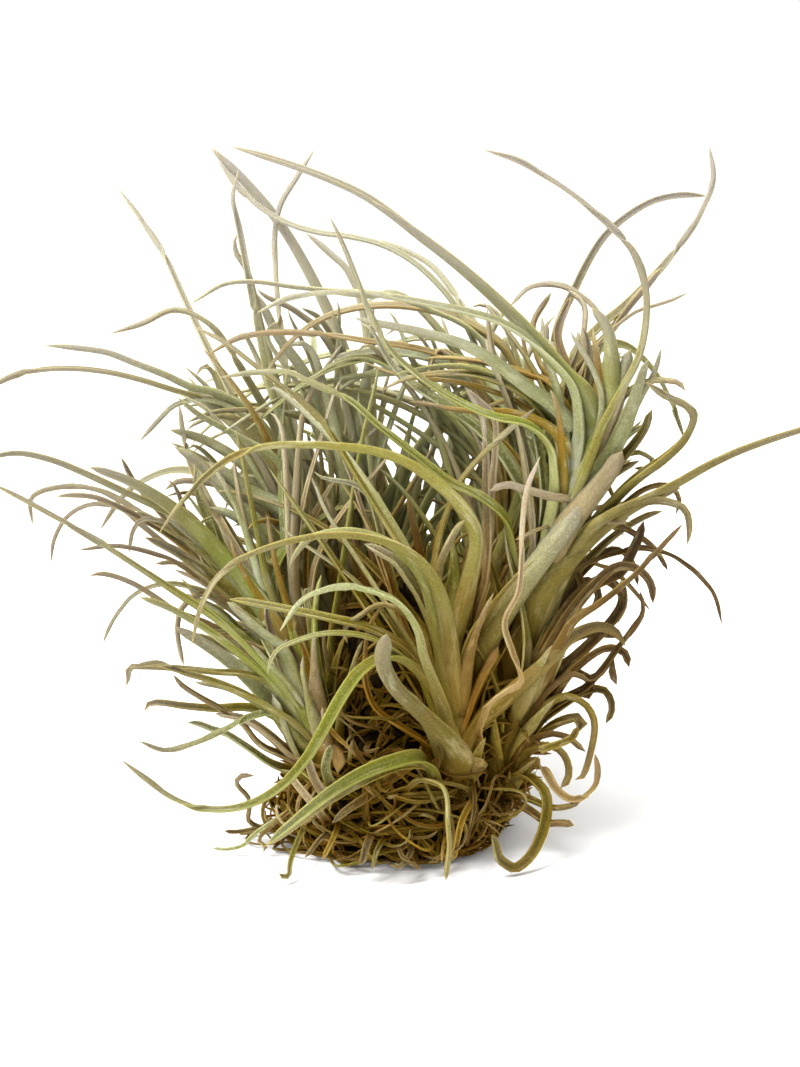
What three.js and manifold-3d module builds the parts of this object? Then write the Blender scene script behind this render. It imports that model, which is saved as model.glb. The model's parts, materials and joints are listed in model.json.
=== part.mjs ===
import * as THREE from "three";
import { mergeVertices } from "three/addons/utils/BufferGeometryUtils.js";
import Module from "manifold-3d";

// A clump of narrow-leaved air plant: shoots rise out of a nest of dead leaves, and every shoot
// carries arching leaves that taper to curled tips.
// Millimetres, +Z up, +X to the viewer's right, +Y away from the viewer.
// The origin is the middle of the nest's flat underside.

// Clearances
const SEAT_GAP = 0.3;
const LEAF_GAP = 0.5;
const FLOOR_CLEARANCE = 1.5;

// A leaf blade's section, in millimetres and in shares of its width
const BLADE_THICKNESS = 0.7;
const THICKNESS_PER_WIDTH = 0.16;
const CHANNEL_PER_WIDTH = 0.17;
const ROOT_NARROWING = 0.5;
const ROOT_REACH = 9;
const TAPER_POWER = 0.85;
const CHANNEL_SHARE = 0.36;
const KEEL_SHARE = 0.5;
const RIM_LIFT = 0.2;
const STANDOFF_PER_THICKNESS = 0.6;
const BLADE_TURN = THREE.MathUtils.degToRad(38);
const BLADE_TURN_REACH = 30;

// How finely the solids are cut
const SHOOT_SIDES = 10;
const SHOOT_RINGS = 9;
const RING_SPACING = 6.5;
const FEWEST_RINGS = 7;
const MOST_RINGS = 19;

// The nest of dead leaves
const NEST_HEIGHT = 31;
const NEST_FOOT_RADIUS = 23;
const NEST_BELLY = 5.5;
const NEST_BELLY_RISE = 1.25;
const NEST_ROUNDING = 2.4;
const NEST_LUMP = 1.6;
const NEST_WAVES = [
  { count: 3, twist: 5, height: 1 },
  { count: 7, twist: -9, height: 0.6 },
];
const NEST_FOOT_SHARE = 0.5;
const NEST_SIDES = 26;
const NEST_LEVELS = 8;
const NEST_LEAN = { x: 2.5, y: 1.5 };

// Midribs are drawn across and up on a sheet that faces a viewer in front of the plant and a
// little above it. The depth of a point is its distance behind the origin.
const VIEW_TILT = THREE.MathUtils.degToRad(12);
const VIEW_DISTANCE = 450;
const SHEET_CENTRE_UP = 63.3;
const SHEET_FOOT = 4;
const SHEET_UP = new THREE.Vector3(0, Math.sin(VIEW_TILT), Math.cos(VIEW_TILT));
const VIEW_FORWARD = new THREE.Vector3(0, Math.cos(VIEW_TILT), -Math.sin(VIEW_TILT));
const EYE = SHEET_UP.clone()
  .multiplyScalar(SHEET_CENTRE_UP - SHEET_FOOT)
  .addScaledVector(VIEW_FORWARD, -VIEW_DISTANCE);

// Leaves that would touch are eased apart along the line of sight
const EASE_ROUNDS = 160;
const SAMPLE_SPACING = 2.5;
const HELD_REACH = 3;
const FREE_REACH = 12;
const PUSH_SHARE = 0.6;
const BOX_MARGIN = 3;

const FINISHES = {
  green: { color: "#7d8b55", roughness: 0.72 },
  silver: { color: "#a3a88c", roughness: 0.82 },
  olive: { color: "#8a8156", roughness: 0.75 },
  ochre: { color: "#a98f5c", roughness: 0.8 },
  pale: { color: "#cfc3a6", roughness: 0.85 },
  brown: { color: "#6b5437", roughness: 0.88 },
  nest: { color: "#4f3d2a", roughness: 0.95 },
};

// Every shoot: its tint, its radii at the foot and at the heart, and its axis from foot to
// heart as [across, up, depth] points.
const SHOOTS = {
  front: {
    tint: "silver",
    radii: [3.6, 2.2],
    axis: [[8, 7, -5], [12, 17, -12], [11, 28, -15], [10, 40, -14], [12, 52, -13]],
  },
  right_high: {
    tint: "silver",
    radii: [3.9, 2.4],
    axis: [[15, 20, 4], [26, 47, -3], [32, 64, -7], [37, 77, -8], [42, 86, -6]],
  },
  left_low: { tint: "silver", radii: [3.4, 2.2], axis: [[-9, 9, -4], [-14, 19, -11], [-20, 34, -15]] },
  left_mid: { tint: "silver", radii: [3.3, 2.2], axis: [[-9, 20, -1], [-21, 39, -3], [-31, 54, -4]] },
  back_left: { tint: "silver", radii: [3.3, 2.1], axis: [[-8, 20, 8], [-13, 46, 13], [-18, 65, 16]] },
  back_centre: { tint: "silver", radii: [3.2, 2.1], axis: [[-1, 22, 14], [-4, 48, 24], [-6, 67, 30]] },
  back_right: {
    tint: "silver",
    radii: [3.5, 2.2],
    axis: [[9, 20, 11], [18, 53, 17], [26, 74, 20], [29, 89, 20]],
  },
  right_low: { tint: "olive", radii: [3.2, 2.1], axis: [[19, 9, -3], [23, 24, -9], [29, 38, -13]] },
  rear: { tint: "silver", radii: [3.3, 2.1], axis: [[4, 14, 12], [7, 33, 28], [8, 48, 38]] },
};

// Every leaf: its shoot, its seat on the shoot (0 at the foot, 1 at the heart), its tint, its
// widths near the root and near the tip, its depths near the root, in the middle and at the
// tip, and its midrib from root to tip as [across, up] points.
const LEAVES = {
  top_green_leaf: {
    on: "right_high", seat: 0.98, tint: "green", widths: [4, 1.3], depths: [-10, -18, -26],
    rib: [
      [38, 91.5], [31, 96.4], [22.9, 105.6], [12.2, 115.8], [4, 122.3], [-7, 130.5], [-19, 135.8],
      [-33.5, 140.6],
    ],
  },
  grey_arc_leaf: {
    on: "right_high", seat: 0.9, tint: "silver", widths: [3, 0.8], depths: [-14, -26, -34],
    rib: [
      [34, 93], [28, 100], [20.2, 105.3], [8, 108.6], [-3.5, 110.6], [-15, 111.3], [-24.5, 109.7],
      [-28.5, 107.5],
    ],
  },
  long_olive_leaf: {
    on: "right_high", seat: 0.76, tint: "green", widths: [2.6, 0.8], depths: [-16, -28, -34],
    rib: [
      [28.3, 83.2], [16.2, 87.3], [4.9, 93.7], [-3.2, 101.5], [-8, 112.3], [-10.8, 119.3], [-14, 126.6],
    ],
  },
  right_hoop_leaf: {
    on: "right_high", seat: 0.66, tint: "olive", widths: [2.6, 0.8], depths: [-16, -22, -24],
    rib: [
      [41.7, 86.5], [47.9, 98.3], [49.6, 109.7], [47.9, 117], [42.6, 124.2], [32.3, 132.5],
      [22.9, 138.2], [16.9, 140],
    ],
  },
  right_hook_leaf: {
    on: "right_high", seat: 0.58, tint: "olive", widths: [3.6, 0.9], depths: [-11, -20, -25],
    rib: [[45.8, 72.6], [51.7, 77], [57, 81.8], [59.2, 87], [57.3, 89.4], [52.6, 91], [49.3, 93.5]],
  },
  pale_loop_leaf: {
    on: "right_high", seat: 1, tint: "pale", widths: [1.6, 0.9], depths: [-3, 2, 4],
    rib: [
      [42.6, 92.7], [41.8, 102.4], [38.9, 108.3], [33.7, 112.3], [28.8, 113.2], [25, 112], [21.8, 108.6],
    ],
  },
  yellow_green_leaf: {
    on: "right_high", seat: 0.48, tint: "green", widths: [3, 0.8], depths: [-13, -18, -20],
    rib: [
      [20, 67.5], [10, 73.3], [2.2, 79.5], [-4.2, 84.5], [-10, 89.7], [-15, 92.1], [-23.2, 95.6], [-36, 94.5],
    ],
  },
  brown_needle_leaf: {
    on: "right_high", seat: 0.36, tint: "brown", widths: [1.6, 0.7], depths: [-6, -4, -2],
    rib: [[34, 55.5], [41, 58.4], [48, 60.4], [56.9, 57.3], [62.7, 51], [64.4, 45.1]],
  },
  back_s_leaf: {
    on: "back_right", seat: 0.97, tint: "olive", widths: [2.6, 0.8], depths: [21, 30, 36],
    rib: [[36, 100], [46.4, 110], [53.5, 117.7], [59.7, 126.5], [62.7, 134], [61.9, 140.7]],
  },
  grey_wave_leaf: {
    on: "back_right", seat: 0.78, tint: "silver", widths: [2, 1.2], depths: [16, 18, 22],
    rib: [
      [12, 107], [2.5, 117.5], [-5.7, 121.6], [-17.8, 123.7], [-24.8, 126.3], [-31.2, 131.2], [-36.3, 137.7],
    ],
  },
  ochre_cross_leaf: {
    on: "back_right", seat: 0.7, tint: "ochre", widths: [2.4, 0.9], depths: [12, 4, -2],
    rib: [[16, 94], [6, 99.5], [-7, 101.7], [-19, 103.3], [-31.2, 102.7], [-38.5, 99]],
  },
  rear_right_leaf: {
    on: "back_right", seat: 0.84, tint: "green", widths: [3.4, 0.9], depths: [28, 46, 62],
    rib: [[36, 97], [44, 101], [52, 94], [57, 82]],
  },
  rear_up_leaf: {
    on: "back_right", seat: 0.6, tint: "olive", widths: [3, 0.8], depths: [28, 44, 52],
    rib: [[22, 90], [14, 106], [6, 117], [-4, 122]],
  },
  tall_pale_leaf: {
    on: "back_left", seat: 0.93, tint: "pale", widths: [2.8, 1], depths: [18, 26, 32],
    rib: [[-28, 80], [-37, 97], [-42.8, 109], [-48, 120.2], [-56.4, 132.3]],
  },
  olive_hook_leaf: {
    on: "back_left", seat: 0.76, tint: "olive", widths: [2.4, 0.8], depths: [20, 10, 4],
    rib: [[-24, 82], [-30.7, 94.5], [-36.9, 104], [-44.5, 108.2], [-52.5, 104.8], [-57.9, 103.3]],
  },
  long_thin_leaf: {
    on: "back_left", seat: 0.86, tint: "silver", widths: [2.4, 0.8], depths: [11, 0, -6],
    rib: [[-21.3, 79], [-25.8, 93], [-28.8, 107.2], [-32, 124], [-33.3, 130], [-32.3, 136]],
  },
  silver_green_leaf: {
    on: "back_left", seat: 0.56, tint: "silver", widths: [3.2, 1.2], depths: [5, -3, -10],
    rib: [[-24.2, 77], [-33.4, 83], [-40.4, 87], [-44.5, 90.5]],
  },
  left_great_arch: {
    on: "back_left", seat: 0.66, tint: "olive", widths: [2.6, 1.2], depths: [15, 3, -8],
    rib: [[-28, 85.5], [-36, 89], [-45, 91.8], [-57, 95.2], [-67.9, 96.2], [-77.3, 94.8], [-84, 91]],
  },
  upright_tan_leaf: {
    on: "back_left", seat: 1, tint: "pale", widths: [2, 0.8], depths: [20, 22, 24],
    rib: [[-20.5, 82], [-23.2, 99], [-24.9, 116.4], [-24.5, 127.2], [-21.8, 132.5], [-17.2, 139.9]],
  },
  rear_left_leaf: {
    on: "back_left", seat: 0.5, tint: "green", widths: [3.2, 0.9], depths: [26, 42, 54],
    rib: [[-24, 62], [-34, 72], [-44, 76], [-54, 72], [-60, 64]],
  },
  cream_olive_leaf: {
    on: "back_centre", seat: 0.98, tint: "silver", widths: [2.6, 0.9], depths: [28, 18, 10],
    rib: [[-8.5, 82], [-11.6, 96.4], [-13.7, 102.6], [-17, 107.2], [-19.7, 108.5]],
  },
  rear_high_leaf: {
    on: "back_centre", seat: 0.88, tint: "green", widths: [3, 0.8], depths: [38, 50, 60],
    rib: [[-12, 82], [-17, 96], [-16, 106], [-8, 108]],
  },
  rear_far_leaf: {
    on: "back_centre", seat: 0.7, tint: "olive", widths: [3, 0.8], depths: [38, 54, 66],
    rib: [[-16, 72], [-24, 79], [-31, 76], [-35, 68]],
  },
  left_cut_arch: {
    on: "left_mid", seat: 0.97, tint: "green", widths: [3.2, 1.3], depths: [-8, -18, -26],
    rib: [[-39.6, 63.3], [-47.7, 67.9], [-58.5, 73], [-69.2, 77.7], [-77.3, 79.3], [-84, 78]],
  },
  left_s_curl: {
    on: "left_mid", seat: 0.86, tint: "olive", widths: [1.8, 0.9], depths: [2, 8, 12],
    rib: [[-38, 60], [-46, 64], [-55.8, 70], [-62.8, 72.5], [-71.9, 71.9], [-74.5, 68.9], [-73.5, 65]],
  },
  drooping_curl: {
    on: "left_mid", seat: 0.74, tint: "brown", widths: [1.6, 0.8], depths: [6, 18, 26],
    rib: [[-36, 53], [-48, 62], [-56.8, 68.7], [-64.4, 68.4], [-68.7, 63], [-69.8, 57.5]],
  },
  dark_left_leaf: {
    on: "left_mid", seat: 0.62, tint: "brown", widths: [1.8, 0.8], depths: [-11, -18, -20],
    rib: [[-33, 48], [-41.5, 55.5], [-51.5, 59.9], [-60, 60.8], [-64.3, 60]],
  },
  hanging_pale_leaf: {
    on: "left_mid", seat: 1, tint: "pale", widths: [2.2, 1], depths: [0, 10, 14],
    rib: [[-35, 64], [-40.4, 74], [-43, 81], [-44.2, 89.2]],
  },
  long_straight_leaf: {
    on: "left_low", seat: 0.9, tint: "green", widths: [2.4, 0.9], depths: [-20, -30, -36],
    rib: [[-27, 36.5], [-36, 45.5], [-47.7, 53.3], [-60.6, 61.7], [-71, 67.6], [-82, 73.5]],
  },
  silver_keel_leaf: {
    on: "left_low", seat: 1, tint: "silver", widths: [4, 2.2], depths: [-17, -22, -25],
    rib: [[-22.6, 38.5], [-28.5, 44], [-34.5, 49.5]],
  },
  low_left_leaf: {
    on: "left_low", seat: 0.72, tint: "olive", widths: [2.5, 0.9], depths: [-20, -32, -38],
    rib: [[-26.3, 28.6], [-35.2, 32.9], [-45, 35.8], [-50, 37.7], [-54, 36.5]],
  },
  grey_trailing_leaf: {
    on: "left_low", seat: 0.5, tint: "silver", widths: [1.7, 0.9], depths: [-17, -28, -34],
    rib: [[-25, 27.5], [-32.8, 25.4], [-39.5, 21.9], [-47.9, 20], [-52.2, 21.8]],
  },
  front_pale_blade: {
    on: "front", seat: 0.22, tint: "olive", widths: [4.4, 1], depths: [-24, -38, -48],
    rib: [[2.2, 17.8], [-5.8, 15.2], [-15.3, 9.5], [-21.8, 4.5], [-27, 0.8]],
  },
  front_broad_blade: {
    on: "front", seat: 0.31, tint: "silver", widths: [5, 2.6], depths: [-25, -36, -42],
    rib: [[4, 27], [-1.2, 32], [-3.4, 38], [-2.7, 43]],
  },
  yellow_hook_leaf: {
    on: "front", seat: 0.39, tint: "ochre", widths: [2.2, 0.8], depths: [-19, -18, -18],
    rib: [[1, 24], [-5.8, 29.2], [-7.2, 37], [-6.2, 45.2], [-3.5, 49.3]],
  },
  front_great_arch: {
    on: "front", seat: 0.72, tint: "olive", widths: [3.4, 0.8], depths: [-22, -36, -44],
    rib: [
      [9.6, 44], [5.4, 55.5], [-1.3, 60.8], [-12.9, 62.9], [-25.8, 60.6], [-35, 56], [-39.6, 49], [-41.6, 41],
    ],
  },
  upper_great_arch: {
    on: "front", seat: 1, tint: "olive", widths: [3.2, 0.8], depths: [-17, -22, -28],
    rib: [
      [14.5, 55], [15.2, 64], [9.5, 71], [0, 77.8], [-11, 80.3], [-30.7, 79.7], [-40, 73.5], [-48.2, 63.3],
    ],
  },
  low_front_arch: {
    on: "front", seat: 0.56, tint: "silver", widths: [3, 0.8], depths: [-22, -30, -36],
    rib: [[4.6, 38], [1.4, 47.7], [-7, 52], [-17.5, 51.4], [-24, 43.8]],
  },
  upright_pink_leaf: {
    on: "front", seat: 0.86, tint: "pale", widths: [2.8, 0.9], depths: [-12, -11, -14],
    rib: [[16.5, 50], [17.8, 60], [17.3, 74.3], [16.9, 85.7], [13.2, 92.4]],
  },
  upright_olive_leaf: {
    on: "front", seat: 0.8, tint: "olive", widths: [2.6, 1], depths: [-15, -12, -12],
    rib: [[6.2, 53.3], [8.4, 64.6], [11.9, 73.5], [18.3, 81], [27, 88.3]],
  },
  dry_ribbon: {
    on: "front", seat: 0.44, tint: "pale", widths: [1.4, 1], depths: [-24, -28, -26],
    rib: [[18.9, 30.2], [24.5, 34], [20.8, 44.4], [24, 52.5], [24.5, 64.6], [25.9, 74], [28, 78.7]],
  },
  thin_olive_leaf: {
    on: "front", seat: 0.93, tint: "olive", widths: [2.2, 0.8], depths: [-18, -17, -16],
    rib: [
      [3.5, 55], [-2.3, 64.2], [-9.7, 76.2], [-16.4, 86.5], [-27.2, 95.3], [-35, 101.3], [-41.5, 104.8],
    ],
  },
  long_trailing_leaf: {
    on: "front", seat: 0.63, tint: "green", widths: [3.4, 0.8], depths: [-22, -38, -46],
    rib: [
      [-1, 38.5], [-8.3, 35], [-14.5, 25], [-19, 17.6], [-25.3, 11.4], [-33, 8.2], [-42.8, 9], [-55.7, 18],
    ],
  },
  right_great_leaf: {
    on: "right_high", seat: 0.42, tint: "olive", widths: [4.8, 1.5], depths: [-11, -19, -30],
    rib: [[34.5, 60.5], [41, 66], [53.5, 72], [65.3, 78.5], [77, 82.9], [86, 85.5]],
  },
  right_low_leaf: {
    on: "right_low", seat: 1, tint: "brown", widths: [2.6, 0.9], depths: [-18, -20, -22],
    rib: [[34, 44.5], [42, 50.6], [48.5, 56.5], [56.5, 65.2]],
  },
  right_knob_leaf: {
    on: "right_low", seat: 0.7, tint: "brown", widths: [2, 0.9], depths: [-9, -14, -18],
    rib: [[32, 29.5], [38, 33], [42.9, 39.3], [48, 46.3], [49, 49.5], [48, 51.7]],
  },
  right_broad_leaf: {
    on: "right_low", seat: 0.82, tint: "olive", widths: [3, 1.8], depths: [-8, -3, 2],
    rib: [[31, 40], [37, 43.5], [44, 43]],
  },
  right_foot_curl: {
    on: "right_low", seat: 0.4, tint: "pale", widths: [1.9, 1], depths: [-12, -20, -22],
    rib: [[27.5, 18.9], [30.8, 12.5], [35.3, 10], [39.4, 13.3], [39, 19.2]],
  },
  rear_low_leaf: {
    on: "rear", seat: 0.98, tint: "green", widths: [3.2, 0.9], depths: [46, 62, 76],
    rib: [[10, 58], [14, 66], [20, 64], [24, 54]],
  },
  rear_side_leaf: {
    on: "rear", seat: 0.8, tint: "olive", widths: [3, 0.9], depths: [42, 54, 62],
    rib: [[18, 50], [30, 58], [42, 56], [50, 48]],
  },
};

// A point on the line of sight through [across, up] of the sheet, at the given depth.
function sightPoint([across, up], depth) {
  const onSheet = SHEET_UP.clone().multiplyScalar(up - SHEET_FOOT);
  onSheet.x = across;
  const reach = (depth - EYE.y) / (onSheet.y - EYE.y);
  return EYE.clone().lerp(onSheet, reach);
}

// A smooth curve through the points, with no loops where they lie close together.
function smoothCurve(points) {
  return new THREE.CatmullRomCurve3(points, false, "centripetal");
}

// Frames along a row of points: at each, the way along, the way across and the upper side.
// The upper side starts nearest to firstUpper and then turns no more than the row bends.
function framesAlong(points, firstUpper) {
  const frames = [];
  let upper = firstUpper.clone();
  points.forEach((point, index) => {
    const before = points[Math.max(index - 1, 0)];
    const after = points[Math.min(index + 1, points.length - 1)];
    const along = after.clone().sub(before).normalize();
    upper = upper.clone().addScaledVector(along, -upper.dot(along)).normalize();
    const across = new THREE.Vector3().crossVectors(upper, along).normalize();
    frames.push({ point, along, across, upper: upper.clone() });
  });
  return frames;
}

// A closed solid through rings of equal length. The first ring is capped flat with a strip of
// triangles, and the last one closes on a single point.
function closedSweep(rings, apex) {
  const sides = rings[0].length;
  const corners = rings.flat().concat(apex);
  const faces = [];
  for (let ring = 0; ring + 1 < rings.length; ring++) {
    for (let side = 0; side < sides; side++) {
      const here = ring * sides + side;
      const next = ring * sides + ((side + 1) % sides);
      faces.push(here, next, next + sides, here, next + sides, here + sides);
    }
  }
  const last = (rings.length - 1) * sides;
  for (let side = 0; side < sides; side++) {
    faces.push(last + side, last + ((side + 1) % sides), corners.length - 1);
  }
  for (let left = 0, right = sides - 1; left + 1 < right; left++, right--) {
    faces.push(left, right, left + 1);
    if (left + 2 < right) faces.push(left + 1, right, right - 1);
  }
  const geometry = new THREE.BufferGeometry();
  geometry.setAttribute("position", new THREE.Float32BufferAttribute(corners.flatMap((p) => p.toArray()), 3));
  geometry.setIndex(faces);
  return geometry;
}

// Shoots: round stems that thin towards the heart and end in a blunt point.
function shootAxis(shoot) {
  return smoothCurve(shoot.axis.map(([across, up, depth]) => sightPoint([across, up], depth)));
}

function shootGeometry(shoot, grow = 0) {
  const axis = shootAxis(shoot);
  const points = axis.getSpacedPoints(SHOOT_RINGS);
  const frames = framesAlong(points, new THREE.Vector3(0, 1, 0));
  const [footRadius, heartRadius] = shoot.radii;
  const rings = frames.map(({ point, across, upper }, index) => {
    const radius = THREE.MathUtils.lerp(footRadius, heartRadius, index / SHOOT_RINGS) + grow;
    return Array.from({ length: SHOOT_SIDES }, (_, side) => {
      const angle = (side / SHOOT_SIDES) * 2 * Math.PI;
      return point
        .clone()
        .addScaledVector(across, radius * Math.cos(angle))
        .addScaledVector(upper, radius * Math.sin(angle));
    });
  });
  const { point, along } = frames[frames.length - 1];
  return closedSweep(rings, point.clone().addScaledVector(along, heartRadius + grow));
}

// Where a leaf leaves its shoot: just off the skin, on the side that faces its first point.
function leafSeat(leaf) {
  const shoot = SHOOTS[leaf.on];
  const axis = shootAxis(shoot);
  const centre = axis.getPointAt(leaf.seat);
  const along = axis.getTangentAt(leaf.seat);
  const radius = THREE.MathUtils.lerp(...shoot.radii, leaf.seat);
  const first = sightPoint(leaf.rib[0], leaf.depths[0]);
  const outward = first.clone().sub(centre);
  outward.addScaledVector(along, -outward.dot(along)).normalize();
  const standoff = radius + SEAT_GAP + bladeSize(leaf, 0, 0).thickness * STANDOFF_PER_THICKNESS;
  return { point: centre.clone().addScaledVector(outward, standoff), outward, along };
}

// The blade's width and thickness at a share of the leaf's length and a distance from the root.
function bladeSize(leaf, share, distance) {
  const [rootWidth, tipWidth] = leaf.widths;
  const opening = THREE.MathUtils.smoothstep(distance, 0, ROOT_REACH);
  const full = THREE.MathUtils.lerp(rootWidth, tipWidth, share ** TAPER_POWER);
  const width = full * THREE.MathUtils.lerp(ROOT_NARROWING, 1, opening);
  return { width, thickness: BLADE_THICKNESS + THICKNESS_PER_WIDTH * width };
}

// The leaf's midrib as a dense row of points from its seat to its tip.
function leafSamples(leaf) {
  const seat = leafSeat(leaf);
  const [nearRoot, middle, tip] = leaf.depths;
  const last = leaf.rib.length - 1;
  const points = leaf.rib.map((place, index) => {
    const share = (2 * index) / last;
    const depth =
      share < 1
        ? THREE.MathUtils.lerp(nearRoot, middle, share)
        : THREE.MathUtils.lerp(middle, tip, share - 1);
    return sightPoint(place, depth);
  });
  const curve = smoothCurve([seat.point, ...points]);
  const length = curve.getLength();
  const count = Math.ceil(length / SAMPLE_SPACING);
  return { seat, length, points: curve.getSpacedPoints(count) };
}

// Slides the samples of different leaves apart along the line of sight until the blades clear
// one another and the shoots. Roots are held, and every slide is spread smoothly along its leaf.
function easeApart(bodies) {
  const slides = bodies.map(({ points }) => points.map(() => 0));
  const sights = bodies.map(({ points }) => points.map((point) => point.clone().sub(EYE).normalize()));
  const placed = bodies.map(({ points }) => points.map((point) => point.clone()));
  const offset = new THREE.Vector3();

  const pushPair = (first, i, second, j) => {
    const need = bodies[first].radii[i] + bodies[second].radii[j] + LEAF_GAP;
    offset.subVectors(placed[first][i], placed[second][j]);
    if (offset.lengthSq() > need * need) return;
    const along = offset.dot(sights[first][i]);
    const aside = offset.lengthSq() - along * along;
    const wanted = Math.sqrt(Math.max(need * need - aside, 0));
    const drawn = bodies[first].points[i].clone().sub(bodies[second].points[j]).dot(sights[first][i]);
    const side = drawn < 0 ? -1 : 1;
    const missing = wanted - along * side;
    const firstShare = bodies[first].freedom[i];
    const secondShare = bodies[second].freedom[j];
    if (missing <= 0 || firstShare + secondShare === 0) return;
    const push = (PUSH_SHARE * missing * side) / (firstShare + secondShare);
    slides[first][i] += push * firstShare;
    slides[second][j] -= push * secondShare;
  };

  for (let round = 0; round < EASE_ROUNDS; round++) {
    const boxes = placed.map((row) => new THREE.Box3().setFromPoints(row).expandByScalar(BOX_MARGIN));
    for (let first = 0; first < bodies.length; first++) {
      for (let second = first + 1; second < bodies.length; second++) {
        if (!boxes[first].intersectsBox(boxes[second])) continue;
        for (let i = 0; i < placed[first].length; i++) {
          if (!boxes[second].containsPoint(placed[first][i])) continue;
          for (let j = 0; j < placed[second].length; j++) {
            pushPair(first, i, second, j);
          }
        }
      }
    }
    slides.forEach((row, body) => {
      const { points, freedom } = bodies[body];
      const spread = row.map((slide, k) => {
        const before = row[Math.max(k - 1, 0)];
        const after = row[Math.min(k + 1, row.length - 1)];
        return freedom[k] === 0 ? 0 : 0.5 * slide + 0.25 * (before + after);
      });
      spread.forEach((slide, k) => {
        row[k] = slide;
        const spot = points[k].clone().addScaledVector(sights[body][k], slide);
        const sunk = FLOOR_CLEARANCE - spot.z;
        if (sunk > 0 && freedom[k] > 0) {
          row[k] += sunk / sights[body][k].z;
          spot.copy(points[k]).addScaledVector(sights[body][k], row[k]);
        }
        placed[body][k].copy(spot);
      });
    });
  }
  return placed;
}

// The crescent section: raised edges, a channel along the upper side and a flat keel below.
function bladeRing({ point, across, upper }, { width, thickness }) {
  const half = width / 2;
  const rim = CHANNEL_PER_WIDTH * width;
  const outline = [
    [half, rim + RIM_LIFT * thickness],
    [CHANNEL_SHARE * half, thickness / 2],
    [-CHANNEL_SHARE * half, thickness / 2],
    [-half, rim + RIM_LIFT * thickness],
    [-KEEL_SHARE * half, -thickness / 2],
    [KEEL_SHARE * half, -thickness / 2],
  ];
  return outline.map(([x, y]) => point.clone().addScaledVector(across, x).addScaledVector(upper, y));
}

function leafGeometry(leaf, seat, samples, grow = 0) {
  const curve = smoothCurve(samples);
  const length = curve.getLength();
  const count = THREE.MathUtils.clamp(Math.round(length / RING_SPACING), FEWEST_RINGS, MOST_RINGS);
  const points = curve.getSpacedPoints(count);
  const towardShoot = seat.along.clone().sub(seat.outward);
  const frames = framesAlong(points, towardShoot);
  const rings = [];
  frames.slice(0, -1).forEach((frame, index) => {
    const share = index / count;
    const size = bladeSize(leaf, share, share * length);
    const turn = turnToViewer(frame) * THREE.MathUtils.smoothstep(share * length, 0, BLADE_TURN_REACH);
    const turned = {
      point: frame.point,
      across: frame.across.clone().applyAxisAngle(frame.along, turn),
      upper: frame.upper.clone().applyAxisAngle(frame.along, turn),
    };
    rings.push(bladeRing(turned, { width: size.width + 2 * grow, thickness: size.thickness + 2 * grow }));
  });
  const end = frames[frames.length - 1];
  return closedSweep(rings, end.point.clone().addScaledVector(end.along, grow));
}

// The blade is turned about its midrib so that more of its channel faces the viewer.
function turnToViewer({ along, upper }) {
  const lean = new THREE.Vector3().crossVectors(upper, VIEW_FORWARD).dot(along);
  return lean > 0 ? -BLADE_TURN : BLADE_TURN;
}

// The nest: a squat lumpy mound with a flat underside.
function nestGeometry() {
  const rings = [];
  for (let level = 0; level <= NEST_LEVELS; level++) {
    const rise = level / (NEST_LEVELS + 1);
    const belly = Math.sin(Math.PI * Math.min(rise * NEST_BELLY_RISE, 1)) * NEST_BELLY;
    const shrink = Math.sqrt(1 - rise ** NEST_ROUNDING);
    const lumpHeight = NEST_LUMP * (level > 0 ? 1 : NEST_FOOT_SHARE);
    const ring = Array.from({ length: NEST_SIDES }, (_, side) => {
      const angle = (side / NEST_SIDES) * 2 * Math.PI;
      const lump = NEST_WAVES.reduce(
        (sum, { count, twist, height }) => sum + height * Math.sin(count * angle + twist * rise),
        0,
      );
      const radius = NEST_FOOT_RADIUS * shrink + belly + lumpHeight * lump;
      return new THREE.Vector3(
        radius * Math.cos(angle) + NEST_LEAN.x * rise,
        radius * Math.sin(angle) + NEST_LEAN.y * rise,
        NEST_HEIGHT * rise,
      );
    });
    rings.push(ring);
  }
  return closedSweep(rings, new THREE.Vector3(NEST_LEAN.x, NEST_LEAN.y, NEST_HEIGHT));
}

// Cuts a socket for everything that reaches into the nest.
async function socketedNest(members) {
  const wasm = await Module();
  wasm.setup();
  const solid = (geometry) => {
    const merged = mergeVertices(geometry);
    const vertProperties = Float32Array.from(merged.attributes.position.array);
    return new wasm.Manifold(new wasm.Mesh({
      numProp: 3,
      vertProperties,
      triVerts: Uint32Array.from(merged.index.array),
    }));
  };
  let nest = solid(nestGeometry());
  members.forEach((member) => {
    nest = nest.subtract(solid(member));
  });
  const pieces = nest.decompose();
  const whole = pieces.reduce((best, piece) => (piece.volume() > best.volume() ? piece : best));
  const { vertProperties, triVerts } = whole.getMesh();
  const geometry = new THREE.BufferGeometry();
  geometry.setAttribute("position", new THREE.BufferAttribute(vertProperties, 3));
  geometry.setIndex(new THREE.BufferAttribute(triVerts, 1));
  return geometry;
}

// Assembly
const plant = new THREE.Group();

function addPiece(name, geometry, tint) {
  geometry.computeVertexNormals();
  const mesh = new THREE.Mesh(geometry, new THREE.MeshStandardMaterial(FINISHES[tint]));
  mesh.name = name;
  plant.add(mesh);
}

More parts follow.
